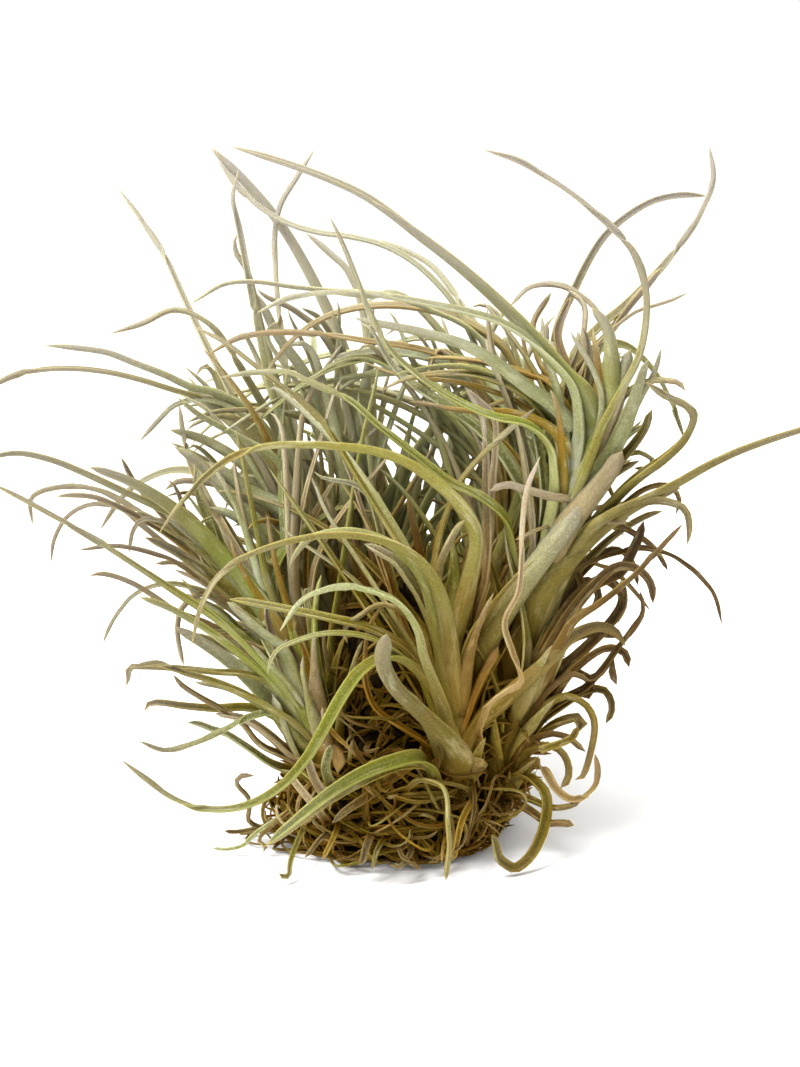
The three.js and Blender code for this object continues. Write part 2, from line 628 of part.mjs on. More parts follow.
const grown = Object.values(LEAVES).map(leafSamples);
const leafBodies = Object.values(LEAVES).map((leaf, index) => {
  const { points, length } = grown[index];
  const step = length / (points.length - 1);
  return {
    points,
    radii: points.map((_, k) => bladeSize(leaf, k / (points.length - 1), k * step).width / 2),
    freedom: points.map((_, k) => THREE.MathUtils.smoothstep(k * step, HELD_REACH, FREE_REACH)),
  };
});
const shootBodies = Object.values(SHOOTS).map((shoot) => {
  const axis = shootAxis(shoot);
  const count = Math.ceil(axis.getLength() / SAMPLE_SPACING);
  const points = axis.getSpacedPoints(count);
  return {
    points,
    radii: points.map((_, k) => THREE.MathUtils.lerp(...shoot.radii, k / count)),
    freedom: points.map(() => 0),
  };
});
const placed = easeApart([...leafBodies, ...shootBodies]);

const sockets = [];
Object.entries(SHOOTS).forEach(([name, shoot]) => {
  addPiece(`${name}_shoot`, shootGeometry(shoot), shoot.tint);
  sockets.push(shootGeometry(shoot, SEAT_GAP));
});
Object.entries(LEAVES).forEach(([name, leaf], index) => {
  const { seat } = grown[index];
  addPiece(name, leafGeometry(leaf, seat, placed[index]), leaf.tint);
  const lowest = Math.min(...placed[index].map((point) => point.z));
  if (lowest < NEST_HEIGHT) sockets.push(leafGeometry(leaf, seat, placed[index], SEAT_GAP));
});
addPiece("dead_leaf_nest", await socketedNest(sockets), "nest");

export default plant;
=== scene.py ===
"""Looks of a clump of narrow-leaved air plant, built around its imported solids.

Lengths are in millimetres up to the point where a mesh is made, and in metres in Blender.
"""

import json
import logging
import math
from dataclasses import dataclass, field
from enum import Enum
from typing import Dict, Iterable, List, Optional, Sequence, Tuple, Union

import bpy
import numpy as np
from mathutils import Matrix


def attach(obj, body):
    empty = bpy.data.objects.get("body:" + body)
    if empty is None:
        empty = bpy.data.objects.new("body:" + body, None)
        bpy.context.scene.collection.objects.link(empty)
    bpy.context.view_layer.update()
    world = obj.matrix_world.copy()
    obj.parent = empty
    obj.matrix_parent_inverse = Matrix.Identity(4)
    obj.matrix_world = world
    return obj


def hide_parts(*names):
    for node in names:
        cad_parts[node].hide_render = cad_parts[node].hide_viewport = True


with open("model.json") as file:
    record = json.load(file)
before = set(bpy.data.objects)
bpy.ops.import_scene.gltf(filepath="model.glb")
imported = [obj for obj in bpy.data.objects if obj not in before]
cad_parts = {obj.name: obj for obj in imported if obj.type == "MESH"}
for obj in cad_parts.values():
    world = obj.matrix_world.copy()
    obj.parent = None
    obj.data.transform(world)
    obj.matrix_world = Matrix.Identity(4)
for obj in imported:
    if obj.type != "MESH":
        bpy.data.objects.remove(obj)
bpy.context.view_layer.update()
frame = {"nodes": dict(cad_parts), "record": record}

log = logging.getLogger("air_plant")

MM = 0.001
BODY = "root"
NEST_NODE = "dead_leaf_nest"
# Corners of each ring of the shoots' and the leaves' solids.
STEM_CORNERS = 10
LEAF_CORNERS = 6
SHOOT_SUFFIX = "_shoot"
GOLDEN_ANGLE = math.radians(137.5)
# About once round, in radians.
FULL_TURN = 6.3
UP = np.array([0.0, 0.0, 1.0])

# The sheet that traced midribs are drawn on: across and up, as a viewer sees the plant.
VIEW_TILT = math.radians(12)
VIEW_DISTANCE = 450.0
SHEET_CENTRE_UP = 63.3
SHEET_FOOT = 4.0
SHEET_HEIGHT = 213.4
SHEET_UP = np.array([0.0, math.sin(VIEW_TILT), math.cos(VIEW_TILT)])
VIEW_FORWARD = np.array([0.0, math.cos(VIEW_TILT), -math.sin(VIEW_TILT)])
EYE = SHEET_UP * (SHEET_CENTRE_UP - SHEET_FOOT) - VIEW_FORWARD * VIEW_DISTANCE
FLOOR_GAP = 0.5

NEST_MIDDLE = (-1.0, 1.0, 8.0)
NEST_RADII = (22.0, 22.0, 24.0)
X, Y, Z = range(3)

Number = Union[int, float, "Field"]
Colour = Tuple[float, float, float, float]
# Places on the sheet, each across and then up, one after the other.
Places = Tuple[float, ...]


def unit(vectors: np.ndarray) -> np.ndarray:
    """Vectors, one or a row of them, at length 1."""
    length = np.linalg.norm(vectors, axis=-1, keepdims=True)
    return vectors / np.maximum(length, 1e-9)


def smoothstep(value: np.ndarray, low: float, high: float) -> np.ndarray:
    """An even rise from 0 at low to 1 at high."""
    share = np.clip((np.asarray(value, float) - low) / (high - low), 0, 1)
    return share * share * (3 - 2 * share)


def turned(vector: np.ndarray, axis: np.ndarray, angle: float) -> np.ndarray:
    """A vector turned about a unit axis."""
    kept = axis * (axis @ vector) * (1 - math.cos(angle))
    return vector * math.cos(angle) + np.cross(axis, vector) * math.sin(angle) + kept


def run_of(points: np.ndarray) -> np.ndarray:
    """Distance of each point of a row from the first, along the row."""
    return np.concatenate([[0], np.cumsum(np.linalg.norm(np.diff(points, axis=0), axis=1))])


def sight_point(across: float, up: float, depth: float) -> np.ndarray:
    """A point behind a place of the sheet, on the viewer's line of sight.

    Args:
        across: place on the sheet, to the right.
        up: place on the sheet, upwards.
        depth: the point's distance behind the origin.

    Returns:
        The point in the plant's frame, moved towards the viewer if it would be under the floor.
    """
    drawn = SHEET_UP * (up - SHEET_FOOT) + np.array([across, 0.0, 0.0])
    reach = (depth - EYE[1]) / (drawn[1] - EYE[1])
    point = EYE + (drawn - EYE) * reach
    if point[2] < FLOOR_GAP:
        point = EYE + (drawn - EYE) * (EYE[2] - FLOOR_GAP) / (EYE[2] - drawn[2])
    return point


def seen_at(points: np.ndarray) -> np.ndarray:
    """Where points are seen on the sheet.

    Args:
        points: a row of points in the plant's frame.

    Returns:
        A row of [across, up] places.
    """
    away = points - EYE
    reach = VIEW_DISTANCE / (away @ VIEW_FORWARD)
    return np.stack([away[:, 0] * reach, (away @ SHEET_UP) * reach + SHEET_CENTRE_UP], axis=1)


@dataclass(frozen=True)
class Region:
    """A part of space with soft edges: axis, place where it starts and place where it is full."""

    edges: Tuple[Tuple[int, float, float], ...]
    strength: float = 1.0

    def share(self, points: np.ndarray) -> np.ndarray:
        """How far inside the region points lie.

        Args:
            points: a row of points.

        Returns:
            A number from 0 to the region's strength for each point.
        """
        made = np.full(len(points), self.strength)
        for axis, start, full in self.edges:
            made = made * smoothstep(points[:, axis], start, full)
        return made


@dataclass(frozen=True)
class Oval:
    """An oval mass, which is full up to one share of its radii and ends at another."""

    middle: Tuple[float, float, float]
    radii: Tuple[float, float, float]
    full: float
    end: float

    def share(self, points: np.ndarray) -> np.ndarray:
        """How far inside the mass points lie, from 0 to 1."""
        offset = (points - np.array(self.middle)) / np.array(self.radii)
        return smoothstep(np.linalg.norm(offset, axis=1), self.end, self.full)


# Painted shade where light hardly reaches: between the leaves, in the nest and low at the right.
CROWN_INSIDE = Oval((6.5, 1.0, 22.0), (38.0, 36.0, 59.0), 0.45, 1.12)
NEST_INSIDE = Oval(NEST_MIDDLE, NEST_RADII, 1.1, 1.44)
RIGHT_INSIDE = Region(((X, 8, 24), (Z, 76, 42)), 0.55)
OPEN_LEFT = Region(((X, -6, -26), (Z, 30, 50)), 0.25)
# Painted shade where the lights are weaker: both sides, more so the right one, and low at the
# front.
LEFT_SIDE = Region(((X, -26, -44), (Z, 104, 68)))
RIGHT_SIDE = Region(((X, 26, 44), (Z, 104, 68)))
FAR_RIGHT = Region(((X, 0, 30),), 0.35)
LOW_FRONT = Region(((Y, -20, -38), (Z, 14, 26), (Z, 52, 34)))
# Where leaves are dry and grey, and painted light where the far leaves are lightened, less so on
# the right.
DRY_TOP = Region(((Z, 80, 132),))
DRY_LEFT = Region(((X, -34, -58),), 0.7)
FAR_LIGHT_PLACE = Region(((Y, -2, 34), (Z, 44, 78)))
CLEAR_RIGHT = Region(((X, 8, 34),), 0.9)


def regional(points: np.ndarray) -> Dict[str, np.ndarray]:
    """Numbers that a leaf's finish takes from its place in the plant.

    Args:
        points: a row of points.

    Returns:
        For each point, from 0 up: painted shade inside the plant (deep), painted
        shade at a side or the low front (dim), dryness for its height (bleach) and painted light
        on the far leaves above and behind the middle (distant).
    """
    crown = CROWN_INSIDE.share(points) * (1 - OPEN_LEFT.share(points))
    deep = np.maximum(crown, NEST_INSIDE.share(points))
    right = RIGHT_SIDE.share(points) * (1 + FAR_RIGHT.share(points))
    return {
        "deep": np.maximum(deep, RIGHT_INSIDE.share(points)),
        "dim": np.maximum(LEFT_SIDE.share(points) + right, LOW_FRONT.share(points)),
        "bleach": np.maximum(DRY_TOP.share(points), DRY_LEFT.share(points)),
        "distant": FAR_LIGHT_PLACE.share(points) * (1 - CLEAR_RIGHT.share(points)),
    }


def smooth_row(points: np.ndarray, spacing: float) -> np.ndarray:
    """Evenly spaced points on a smooth curve through the given ones.

    Args:
        points: a row of points or of longer vectors whose first three numbers are a place.
        spacing: wanted distance between two of the new points.

    Returns:
        The new row, with the same first and last point.
    """
    padded = np.vstack([2 * points[0] - points[1], points, 2 * points[-1] - points[-2]])
    steps = np.linspace(0, 1, 10, endpoint=False)[:, None]
    pieces = []
    for before, start, end, after in zip(padded, padded[1:], padded[2:], padded[3:]):
        knots = [0.0]
        for first, second in ((before, start), (start, end), (end, after)):
            knots.append(knots[-1] + max(np.linalg.norm((second - first)[:3]), 1e-3) ** 0.5)
        k0, k1, k2, k3 = knots
        at = k1 + steps * (k2 - k1)
        near = ((k1 - at) * before + (at - k0) * start) / (k1 - k0)
        middle = ((k2 - at) * start + (at - k1) * end) / (k2 - k1)
        far = ((k3 - at) * end + (at - k2) * after) / (k3 - k2)
        low = ((k2 - at) * near + (at - k0) * middle) / (k2 - k0)
        high = ((k3 - at) * middle + (at - k1) * far) / (k3 - k1)
        pieces.append(((k2 - at) * low + (at - k1) * high) / (k2 - k1))
    dense = np.vstack(pieces + [points[-1:]])
    run = run_of(dense[:, :3])
    count = max(int(round(run[-1] / spacing)), 4)
    wanted = np.linspace(0, run[-1], count + 1)
    return np.stack([np.interp(wanted, run, column) for column in dense.T], axis=1)


def carried_uppers(points: np.ndarray, first_upper: np.ndarray) -> np.ndarray:
    """Upper sides along a row of points that turn no more than the row bends.

    Args:
        points: the row.
        first_upper: roughly the upper side at the first point.

    Returns:
        One unit vector for each point, square to the row.
    """
    along = unit(np.gradient(points, axis=0))
    uppers = np.empty_like(points)
    upper = np.asarray(first_upper, float)
    for index, way in enumerate(along):
        upper = unit(upper - way * (upper @ way))
        uppers[index] = upper
    return uppers


class Tint(Enum):
    """Which of the record's leaf finishes a piece takes."""

    GREEN = "green"
    SILVER = "silver"
    OLIVE = "olive"
    OCHRE = "ochre"
    PALE = "pale"
    BROWN = "brown"
    NEST = "nest"


class Blend(Enum):
    """How one colour is laid on another."""

    OVER = "MIX"
    SHADE = "MULTIPLY"


class Field:
    """A number that varies over a surface, held by a node's socket, with arithmetic."""

    def __init__(self, surface: "Surface", socket: bpy.types.NodeSocket) -> None:
        """Wrap a socket of the surface's node tree."""
        self.surface = surface
        self.socket = socket

    def _math(self, operation: str, first: Number, second: Number) -> "Field":
        """A Math node on two numbers."""
        node = self.surface.node("ShaderNodeMath", {"operation": operation}, {0: first, 1: second})
        return Field(self.surface, node.outputs[0])

    def __add__(self, other: Number) -> "Field":
        """Sum."""
        return self._math("ADD", self, other)

    __radd__ = __add__

    def __sub__(self, other: Number) -> "Field":
        """Difference."""
        return self._math("SUBTRACT", self, other)

    def __rsub__(self, other: Number) -> "Field":
        """Difference from a plain number."""
        return self._math("SUBTRACT", other, self)

    def __mul__(self, other: Number) -> "Field":
        """Product."""
        return self._math("MULTIPLY", self, other)

    __rmul__ = __mul__

    def size(self) -> "Field":
        """The number without its sign."""
        return self._math("ABSOLUTE", self, 0.0)

    def rise(self, low: float, high: float) -> "Field":
        """An even rise from 0 to 1.

        Args:
            low: the value from which it rises.
            high: the value from which it is 1.

        Returns:
            The rise.
        """
        node = self.surface.node(
            "ShaderNodeMapRange",
            {"interpolation_type": "SMOOTHSTEP", "clamp": True},
            {0: self, 1: low, 2: high, 3: 0.0, 4: 1.0},
        )
        return Field(self.surface, node.outputs[0])


class Surface:
    """The node tree of one material."""

    def __init__(self, name: str) -> None:
        """Start an empty node tree.

        Args:
            name: the material's name.
        """
        self.material = bpy.data.materials.new(name)
        self.material.use_nodes = True
        self.tree = self.material.node_tree
        self.tree.nodes.clear()

    def node(
        self,
        kind: str,
        settings: Optional[Dict[str, object]] = None,
        sockets: Optional[Dict[Union[int, str], object]] = None,
    ) -> bpy.types.Node:
        """Add a node.

        Args:
            kind: the node's type name.
            settings: its own settings, which are made before the sockets. A ramp's stops are
                given as stops, a list of (place, colour).
            sockets: values or links of its input sockets, by name or number.

        Returns:
            The node.
        """
        made = self.tree.nodes.new(kind)
        for key, value in (settings or {}).items():
            if key == "stops":
                self._set_stops(made.color_ramp, value)
            else:
                setattr(made, key, value)
        for key, value in (sockets or {}).items():
            if isinstance(value, Field):
                value = value.socket
            if isinstance(value, bpy.types.NodeSocket):
                self.tree.links.new(value, made.inputs[key])
            else:
                made.inputs[key].default_value = value
        return made

    @staticmethod
    def _set_stops(ramp: bpy.types.ColorRamp, stops: Sequence[Tuple[float, Colour]]) -> None:
        """Give a colour ramp its stops.

        Args:
            ramp: the ramp.
            stops: the place and colour of each stop.
        """
        while len(ramp.elements) < len(stops):
            ramp.elements.new(1.0)
        for element, (place, shade) in zip(ramp.elements, stops):
            element.position = place
            element.color = shade

    def attribute(self, name: str) -> Field:
        """A number that the mesh stores at its vertices."""
        made = self.node("ShaderNodeAttribute", {"attribute_name": name})
        return Field(self, made.outputs["Fac"])

    def place(self) -> bpy.types.NodeSocket:
        """The surface point in the plant's frame, in metres."""
        return self.node("ShaderNodeTexCoord").outputs["Object"]

    def vector(self, x: Number, y: Number, z: Number) -> bpy.types.NodeSocket:
        """A vector of three numbers."""
        return self.node("ShaderNodeCombineXYZ", None, {0: x, 1: y, 2: z}).outputs[0]

    def noise(
        self, where: bpy.types.NodeSocket, scale: float, detail: float = 2.0, rough: float = 0.5
    ) -> Field:
        """Soft noise from 0 to 1.

        Args:
            where: the place to read it at.
            scale: repeats for each metre, or for each unit of where.
            detail: finer layers.
            rough: strength of the finer layers.

        Returns:
            The noise.
        """
        made = self.node(
            "ShaderNodeTexNoise",
            {"noise_dimensions": "3D"},
            {"Vector": where, "Scale": scale, "Detail": detail, "Roughness": rough},
        )
        return Field(self, made.outputs["Fac"])

    def mix(
        self, factor: Number, first: object, second: object, blend: Blend = Blend.OVER
    ) -> bpy.types.NodeSocket:
        """A colour between two colours.

        Args:
            factor: share of the second one.
            first: a colour or a link.
            second: a colour or a link.
            blend: how the second is laid on the first.

        Returns:
            The mixed colour's socket.
        """
        made = self.node(
            "ShaderNodeMix",
            {"data_type": "RGBA", "blend_type": blend.value, "clamp_factor": True},
            {0: factor, 6: first, 7: second},
        )
        return made.outputs[2]

    def finish(
        self,
        shade: bpy.types.NodeSocket,
        roughness: Number,
        height: Field,
        relief: float,
        constants: Dict[str, object],
    ) -> bpy.types.Material:
        """Join the colour, roughness and relief to a surface shader.

        Args:
            shade: base colour.
            roughness: roughness.
            height: relief, 0 to 1.
            relief: depth of the relief in metres.
            constants: values of the shader's own sockets.

        Returns:
            The material.
        """
        sizes = {"Strength": 1.0, "Distance": relief, "Height": height}
        bump = self.node("ShaderNodeBump", None, sizes)
        shader = self.node(
            "ShaderNodeBsdfPrincipled",
            None,
            {"Base Color": shade, "Roughness": roughness, "Normal": bump.outputs[0], **constants},
        )
        self.node("ShaderNodeOutputMaterial", None, {"Surface": shader.outputs[0]})
        return self.material


def colour(code: str) -> Colour:
    """A colour for a node.

    Args:
        code: its six-figure code, as on a colour chart.

    Returns:
        Its linear red, green, blue and cover.
    """
    parts = [int(code[i : i + 2], 16) / 255 for i in (0, 2, 4)]
    linear = [p / 12.92 if p <= 0.04045 else ((p + 0.055) / 1.055) ** 2.4 for p in parts]
    return (*linear, 1.0)


# Colours that every leaf takes on: with age, dust and drought, painted light on the far leaves and
# painted shade.
OLD_LEAF = colour("8f8668")
DUST = colour("bdbc9c")
FAR_LIGHT_PAINT = colour("c0c2a2")
DRY_TIP = colour("8b867d")
SIDE_SHADE = (0.5, 0.45, 0.36, 1.0)
INNER_SHADE = (0.6, 0.37, 0.03, 1.0)
# Repeats for each metre of the leaves' clouding, hairs and specks.
CLOUDS = 95.0
HAIRS = 1900.0
SPECKS = 3600.0
# Relief of the hairs and of the nest's fibres, in metres, and how a leaf lets light through.
HAIR_RELIEF = 0.00012
FIBRE_RELIEF = 0.0012
LEAF_BODY = {
    "Specular IOR Level": 0.08,
    "Subsurface Weight": 0.5,
    "Subsurface Radius": (1.0, 0.75, 0.2),
    "Subsurface Scale": 0.0012,
}


@dataclass(frozen=True)
class LeafFinish:
    """A leaf's colours from sheath to tip, its hairs and its sheen."""

    sheath: str
    blade: str
    middle: str
    tip: str
    channel: str
    margin: str
    blotch: str
    sap: str
    hairs: float = 0.35
    roughness: float = 0.7

    def material(self, tint: Tint) -> bpy.types.Material:
        """Build the finish as a material.

        Args:
            tint: the finish's name.

        Returns:
            The material.
        """
        surface = Surface(f"{tint.value}_leaf")
        along, across, under, tone, deep, dim, bleach, away = (
            surface.attribute(name)
            for name in ("along", "across", "under", "tone", "deep", "dim", "bleach", "distant")
        )
        place = surface.place()
        cloud = surface.noise(place, CLOUDS, 3.0)
        grain = surface.noise(place, HAIRS, 2.0, 0.6)
        speck = surface.noise(place, SPECKS, 1.0)
        veins = surface.vector(along * 9.0 + tone * 31.0, across * 5.0, under * 3.0)
        streak = surface.noise(veins, 1.0, 4.0, 0.6)
        own = surface.noise(surface.vector(tone * 57.0, tone * 23.0, 0.0), 1.0, 1.0)
        broad = surface.vector(along * 3.2 + tone * 47.0, across * 0.5, tone * 13.0)
        patch = surface.noise(broad, 1.0, 3.0, 0.6)
        fine = surface.vector(along * 6.0 + tone * 71.0, across * 1.1, tone * 29.0)
        dust = surface.noise(fine, 1.0, 4.0, 0.65)

        stops = [
            (0.12, colour(self.sheath)),
            (0.28, colour(self.blade)),
            (0.58, colour(self.middle)),
            (0.97, colour(self.tip)),
        ]
        wander = along + (cloud - 0.5) * 0.35
        body = surface.node("ShaderNodeValToRGB", {"stops": stops}, {0: wander}).outputs[0]
        inside = (1.0 - across.size()) * (1.0 - under)
        layers = (
            (patch.rise(0.48, 0.66) * (1.0 - along) * 0.75, colour(self.sap), Blend.OVER),
            (patch.rise(0.5, 0.34) * 0.6, colour(self.margin), Blend.OVER),
            (own.rise(0.5, 0.7) * 0.4, colour(self.sap), Blend.OVER),
            (inside.rise(0.25, 1.0) * 0.6, colour(self.channel), Blend.OVER),
            (under * 0.2, colour(self.sheath), Blend.OVER),
            (across.size().rise(0.76, 1.0) * 0.6, colour(self.margin), Blend.OVER),
            (cloud.rise(0.56, 0.74) * 0.45, colour(self.blotch), Blend.OVER),
            (streak.rise(0.5, 0.8) * 0.35, colour(self.margin), Blend.OVER),
            (streak.rise(0.5, 0.2) * 0.4, colour(self.channel), Blend.OVER),
            (grain.rise(0.5, 0.68) * self.hairs, colour(self.margin), Blend.OVER),
            (speck.rise(0.5, 0.36) * 0.28, colour(self.channel), Blend.OVER),
            ((1.0 - tone) * 0.4, OLD_LEAF, Blend.SHADE),
            (dust.rise(0.53, 0.7) * 0.5, DUST, Blend.OVER),
            # Painted light: the far leaves are lightened.
            (away * 0.5, FAR_LIGHT_PAINT, Blend.OVER),
            (bleach * 0.8, DRY_TIP, Blend.OVER),
            # Painted shade: at the sides and the low front, then inside the plant.
            (dim * 0.56, SIDE_SHADE, Blend.SHADE),
            (deep * 0.95, INNER_SHADE, Blend.SHADE),
        )
        for share, shade, blend in layers:
            body = surface.mix(share, body, shade, blend)
        roughness = self.roughness + (grain - 0.5) * 0.3
        return surface.finish(body, roughness, grain * 0.6 + streak * 0.4, HAIR_RELIEF, LEAF_BODY)


@dataclass(frozen=True)
class NestFinish:
    """The fibrous mass of dead leaves inside the nest, painted near-black as the shade there."""

    dark: str = "181006"
    light: str = "3a2c14"
    deep: str = "0c0803"
    roughness: float = 0.92

    def material(self, tint: Tint) -> bpy.types.Material:
        """Build the finish as a material.

        Args:
            tint: the finish's name.

        Returns:
            The material.
        """
        surface = Surface(f"{tint.value}_fibre")
        place = surface.place()
        combed = surface.node(
            "ShaderNodeMapping",
            {"vector_type": "POINT"},
            {"Vector": place, "Rotation": (0.7, 0.5, 0.3), "Scale": (1.0, 5.0, 1.6)},
        ).outputs[0]
        fibre = surface.noise(combed, 260.0, 4.0, 0.65)
        clump = surface.noise(place, 140.0, 3.0)
        # The fibres' streaks are the mass's own; its near-black colours are painted shade of the
        # nest's inside.
        body = surface.mix(fibre.rise(0.42, 0.62) * 0.8, colour(self.dark), colour(self.light))
        # Painted shade in patches where the clump noise is low.
        body = surface.mix(clump.rise(0.55, 0.35) * 0.6, body, colour(self.deep))
        height = fibre * 0.7 + clump * 0.3
        roughness = self.roughness + (fibre - 0.5) * 0.1
        constants = {"Specular IOR Level": 0.05}
        return surface.finish(body, roughness, height, FIBRE_RELIEF, constants)


# Sheath, blade, middle, tip, channel, margin, blotch and sap of each finish, then hairs and
# roughness where they aren't the usual ones.
FINISHES = {
    Tint.GREEN: LeafFinish(
        "a8a876", "7c8230", "747022", "8b8474", "50560e", "a6ac6c", "877722", "7a8a12"
    ),
    Tint.SILVER: LeafFinish(
        "bcbc9e", "989c60", "888a4e", "8f877b", "5c5e28", "bcc2a0", "958648", "7a8430", 0.5
    ),
    Tint.OLIVE: LeafFinish(
        "a6a070", "7c762a", "746822", "80766a", "44380a", "a29a64", "846a1c", "767a16"
    ),
    Tint.OCHRE: LeafFinish(
        "a6924e", "8e7620", "85641a", "857a6e", "543e0a", "ad984c", "9a7214", "867010", 0.3
    ),
    Tint.PALE: LeafFinish(
        "aea27e", "a0906a", "958562", "988e84", "69583c", "b9ae94", "8c7648", "8c8040"
    ),
    Tint.BROWN: LeafFinish(
        "7c6a42", "76633a", "715f3b", "7e7262", "42351a", "8e7d54", "513d1c", "65541c", 0.2, 0.8
    ),
    Tint.NEST: NestFinish(),
}


class Palette:
    """The plant's materials, each made once."""

    def __init__(self) -> None:
        """Start with no material."""
        self._made: Dict[Tint, bpy.types.Material] = {}

    def __getitem__(self, tint: Tint) -> bpy.types.Material:
        """The material of a finish."""
        if tint not in self._made:
            self._made[tint] = FINISHES[tint].material(tint)
        return self._made[tint]


@dataclass
class Shape:
    """A mesh in the making: vertices, faces of any size, and numbers kept at the vertices."""

    vertices: np.ndarray
    corners: np.ndarray
    sizes: np.ndarray
    stored: Dict[str, np.ndarray]

    @classmethod
    def joined(cls, shapes: Sequence["Shape"]) -> "Shape":
        """Put several shapes into one.

        Args:
            shapes: one shape or more, which store the same numbers.

        Returns:
            The joined shape.
        """
        offsets = np.cumsum([0] + [len(shape.vertices) for shape in shapes[:-1]])
        return cls(
            np.vstack([shape.vertices for shape in shapes]),
            np.concatenate([shape.corners + offset for shape, offset in zip(shapes, offsets)]),
            np.concatenate([shape.sizes for shape in shapes]),
            {key: np.concatenate([s.stored[key] for s in shapes]) for key in shapes[0].stored},
        )

    def build(
        self, name: str, tint: Tint, palette: Palette, replaces: Iterable[str] = ()
    ) -> bpy.types.Object:
        """Make a smooth-shaded object of the plant.

        Args:
            name: the object's name.
            tint: the record's slot that it takes its finish from.
            palette: the plant's materials.
            replaces: names of the solids that it stands for.

        Returns:
            The object.
        """
        mesh = bpy.data.meshes.new(name)
        mesh.vertices.add(len(self.vertices))
        mesh.vertices.foreach_set("co", (self.vertices * MM).astype(np.float32).ravel())
        mesh.loops.add(len(self.corners))
        mesh.loops.foreach_set("vertex_index", self.corners.astype(np.int32))
        mesh.polygons.add(len(self.sizes))
        starts = np.concatenate([[0], np.cumsum(self.sizes)[:-1]])
        mesh.polygons.foreach_set("loop_start", starts.astype(np.int32))
        mesh.polygons.foreach_set("loop_total", self.sizes.astype(np.int32))
        mesh.update(calc_edges=True)
        # Each vertex also keeps its painted shade, painted far light and dryness, by its place.
        for key, row in {**regional(self.vertices), **self.stored}.items():
            kept = mesh.attributes.new(key, "FLOAT", "POINT")
            kept.data.foreach_set("value", row.astype(np.float32))
        mesh.polygons.foreach_set("use_smooth", np.ones(len(mesh.polygons), bool))
        mesh.materials.append(palette[tint])
        mesh.validate()
        made = bpy.data.objects.new(name, mesh)
        bpy.context.scene.collection.objects.link(made)
        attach(made, BODY)
        names = list(replaces)
        if names:
            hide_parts(*names)
        log.info("%s: %d vertices, %d faces", name, len(mesh.vertices), len(mesh.polygons))
        return made


@dataclass
class Sweep:
    """Rings of equal length along a row, closed at both ends."""

    rings: np.ndarray
    tip: np.ndarray

    def shape(self, stored: Dict[str, np.ndarray]) -> Shape:
        """Join the rings with faces.

        Args:
            stored: numbers kept at the vertices, ring by ring and then the tip.

        Returns:
            The closed shape.
        """
        count, loop = self.rings.shape[:2]
        vertices = np.vstack([self.rings.reshape(-1, 3), self.tip])
        side = np.arange(loop)
        after = (side + 1) % loop
        base = (np.arange(count - 1) * loop)[:, None]
        quads = [base + side, base + after, base + loop + after, base + loop + side]
        last = (count - 1) * loop
        fan = np.stack([last + side, last + after, np.full(loop, count * loop)], axis=-1)
        corners = np.concatenate([np.stack(quads, axis=-1).ravel(), fan.ravel(), side[::-1]])
        sizes = np.concatenate([np.full((count - 1) * loop, 4), np.full(loop, 3), [loop]])
        return Shape(vertices, corners, sizes, stored)


@dataclass
class Strip:
    """A leaf or part of one, ready to be swept: a midrib with a crescent section at each point.

    The section reaches half to each side, bent by opening on each side, in radians, with a keel
    under its middle and edges that thin out.
    """

    points: np.ndarray
    uppers: np.ndarray
    half: np.ndarray
    opening: np.ndarray
    thickness: np.ndarray
    along: np.ndarray
    tone: float
    sides: int = 3
    keel_width: float = 0.22
    keel_depth: float = 0.4
    edge_thinning: float = 0.93
    flattest: float = 0.05
    tip_length: float = 1.2

    def shape(self) -> Shape:
        """Sweep the section along the midrib.

        Returns:
            The closed shape, with how far along, across and under each vertex lies, and a tone.
        """
        points = self.points
        along = unit(np.gradient(points, axis=0))
        uppers = unit(self.uppers - along * np.sum(self.uppers * along, axis=1, keepdims=True))
        acrosses = np.cross(along, uppers)
        place = np.linspace(-1, 1, 2 * self.sides + 1)
        keel = 0.5 + self.keel_depth * np.exp(-((place / self.keel_width) ** 2))
        taper = np.sqrt(np.clip(1 - self.edge_thinning * place**2, 0, 1))
        upper_side = np.stack([place, 0.5 * taper, np.zeros_like(place)], axis=1)
        under_side = np.stack([place, -keel * taper, np.ones_like(place)], axis=1)[-2:0:-1]
        section = np.vstack([upper_side, under_side])
        radius = self.half / np.maximum(self.opening, self.flattest)
        angle = self.opening[:, None] * section[None, :, 0]
        reach = radius[:, None] - section[None, :, 1] * self.thickness[:, None]
        aside = (reach * np.sin(angle))[..., None]
        raised = (radius[:, None] - reach * np.cos(angle))[..., None]
        rings = points[:, None] + acrosses[:, None] * aside + uppers[:, None] * raised
        tip = points[-1] + along[-1] * self.half[-1] * self.tip_length
        count = len(points)
        stored = {
            "along": np.append(np.repeat(self.along, len(section)), self.along[-1]),
            "across": np.append(np.tile(section[:, 0], count), 0.0),
            "under": np.append(np.tile(section[:, 2], count), 0.5),
            "tone": np.full(count * len(section) + 1, self.tone),
        }
        return Sweep(rings, tip).shape(stored)


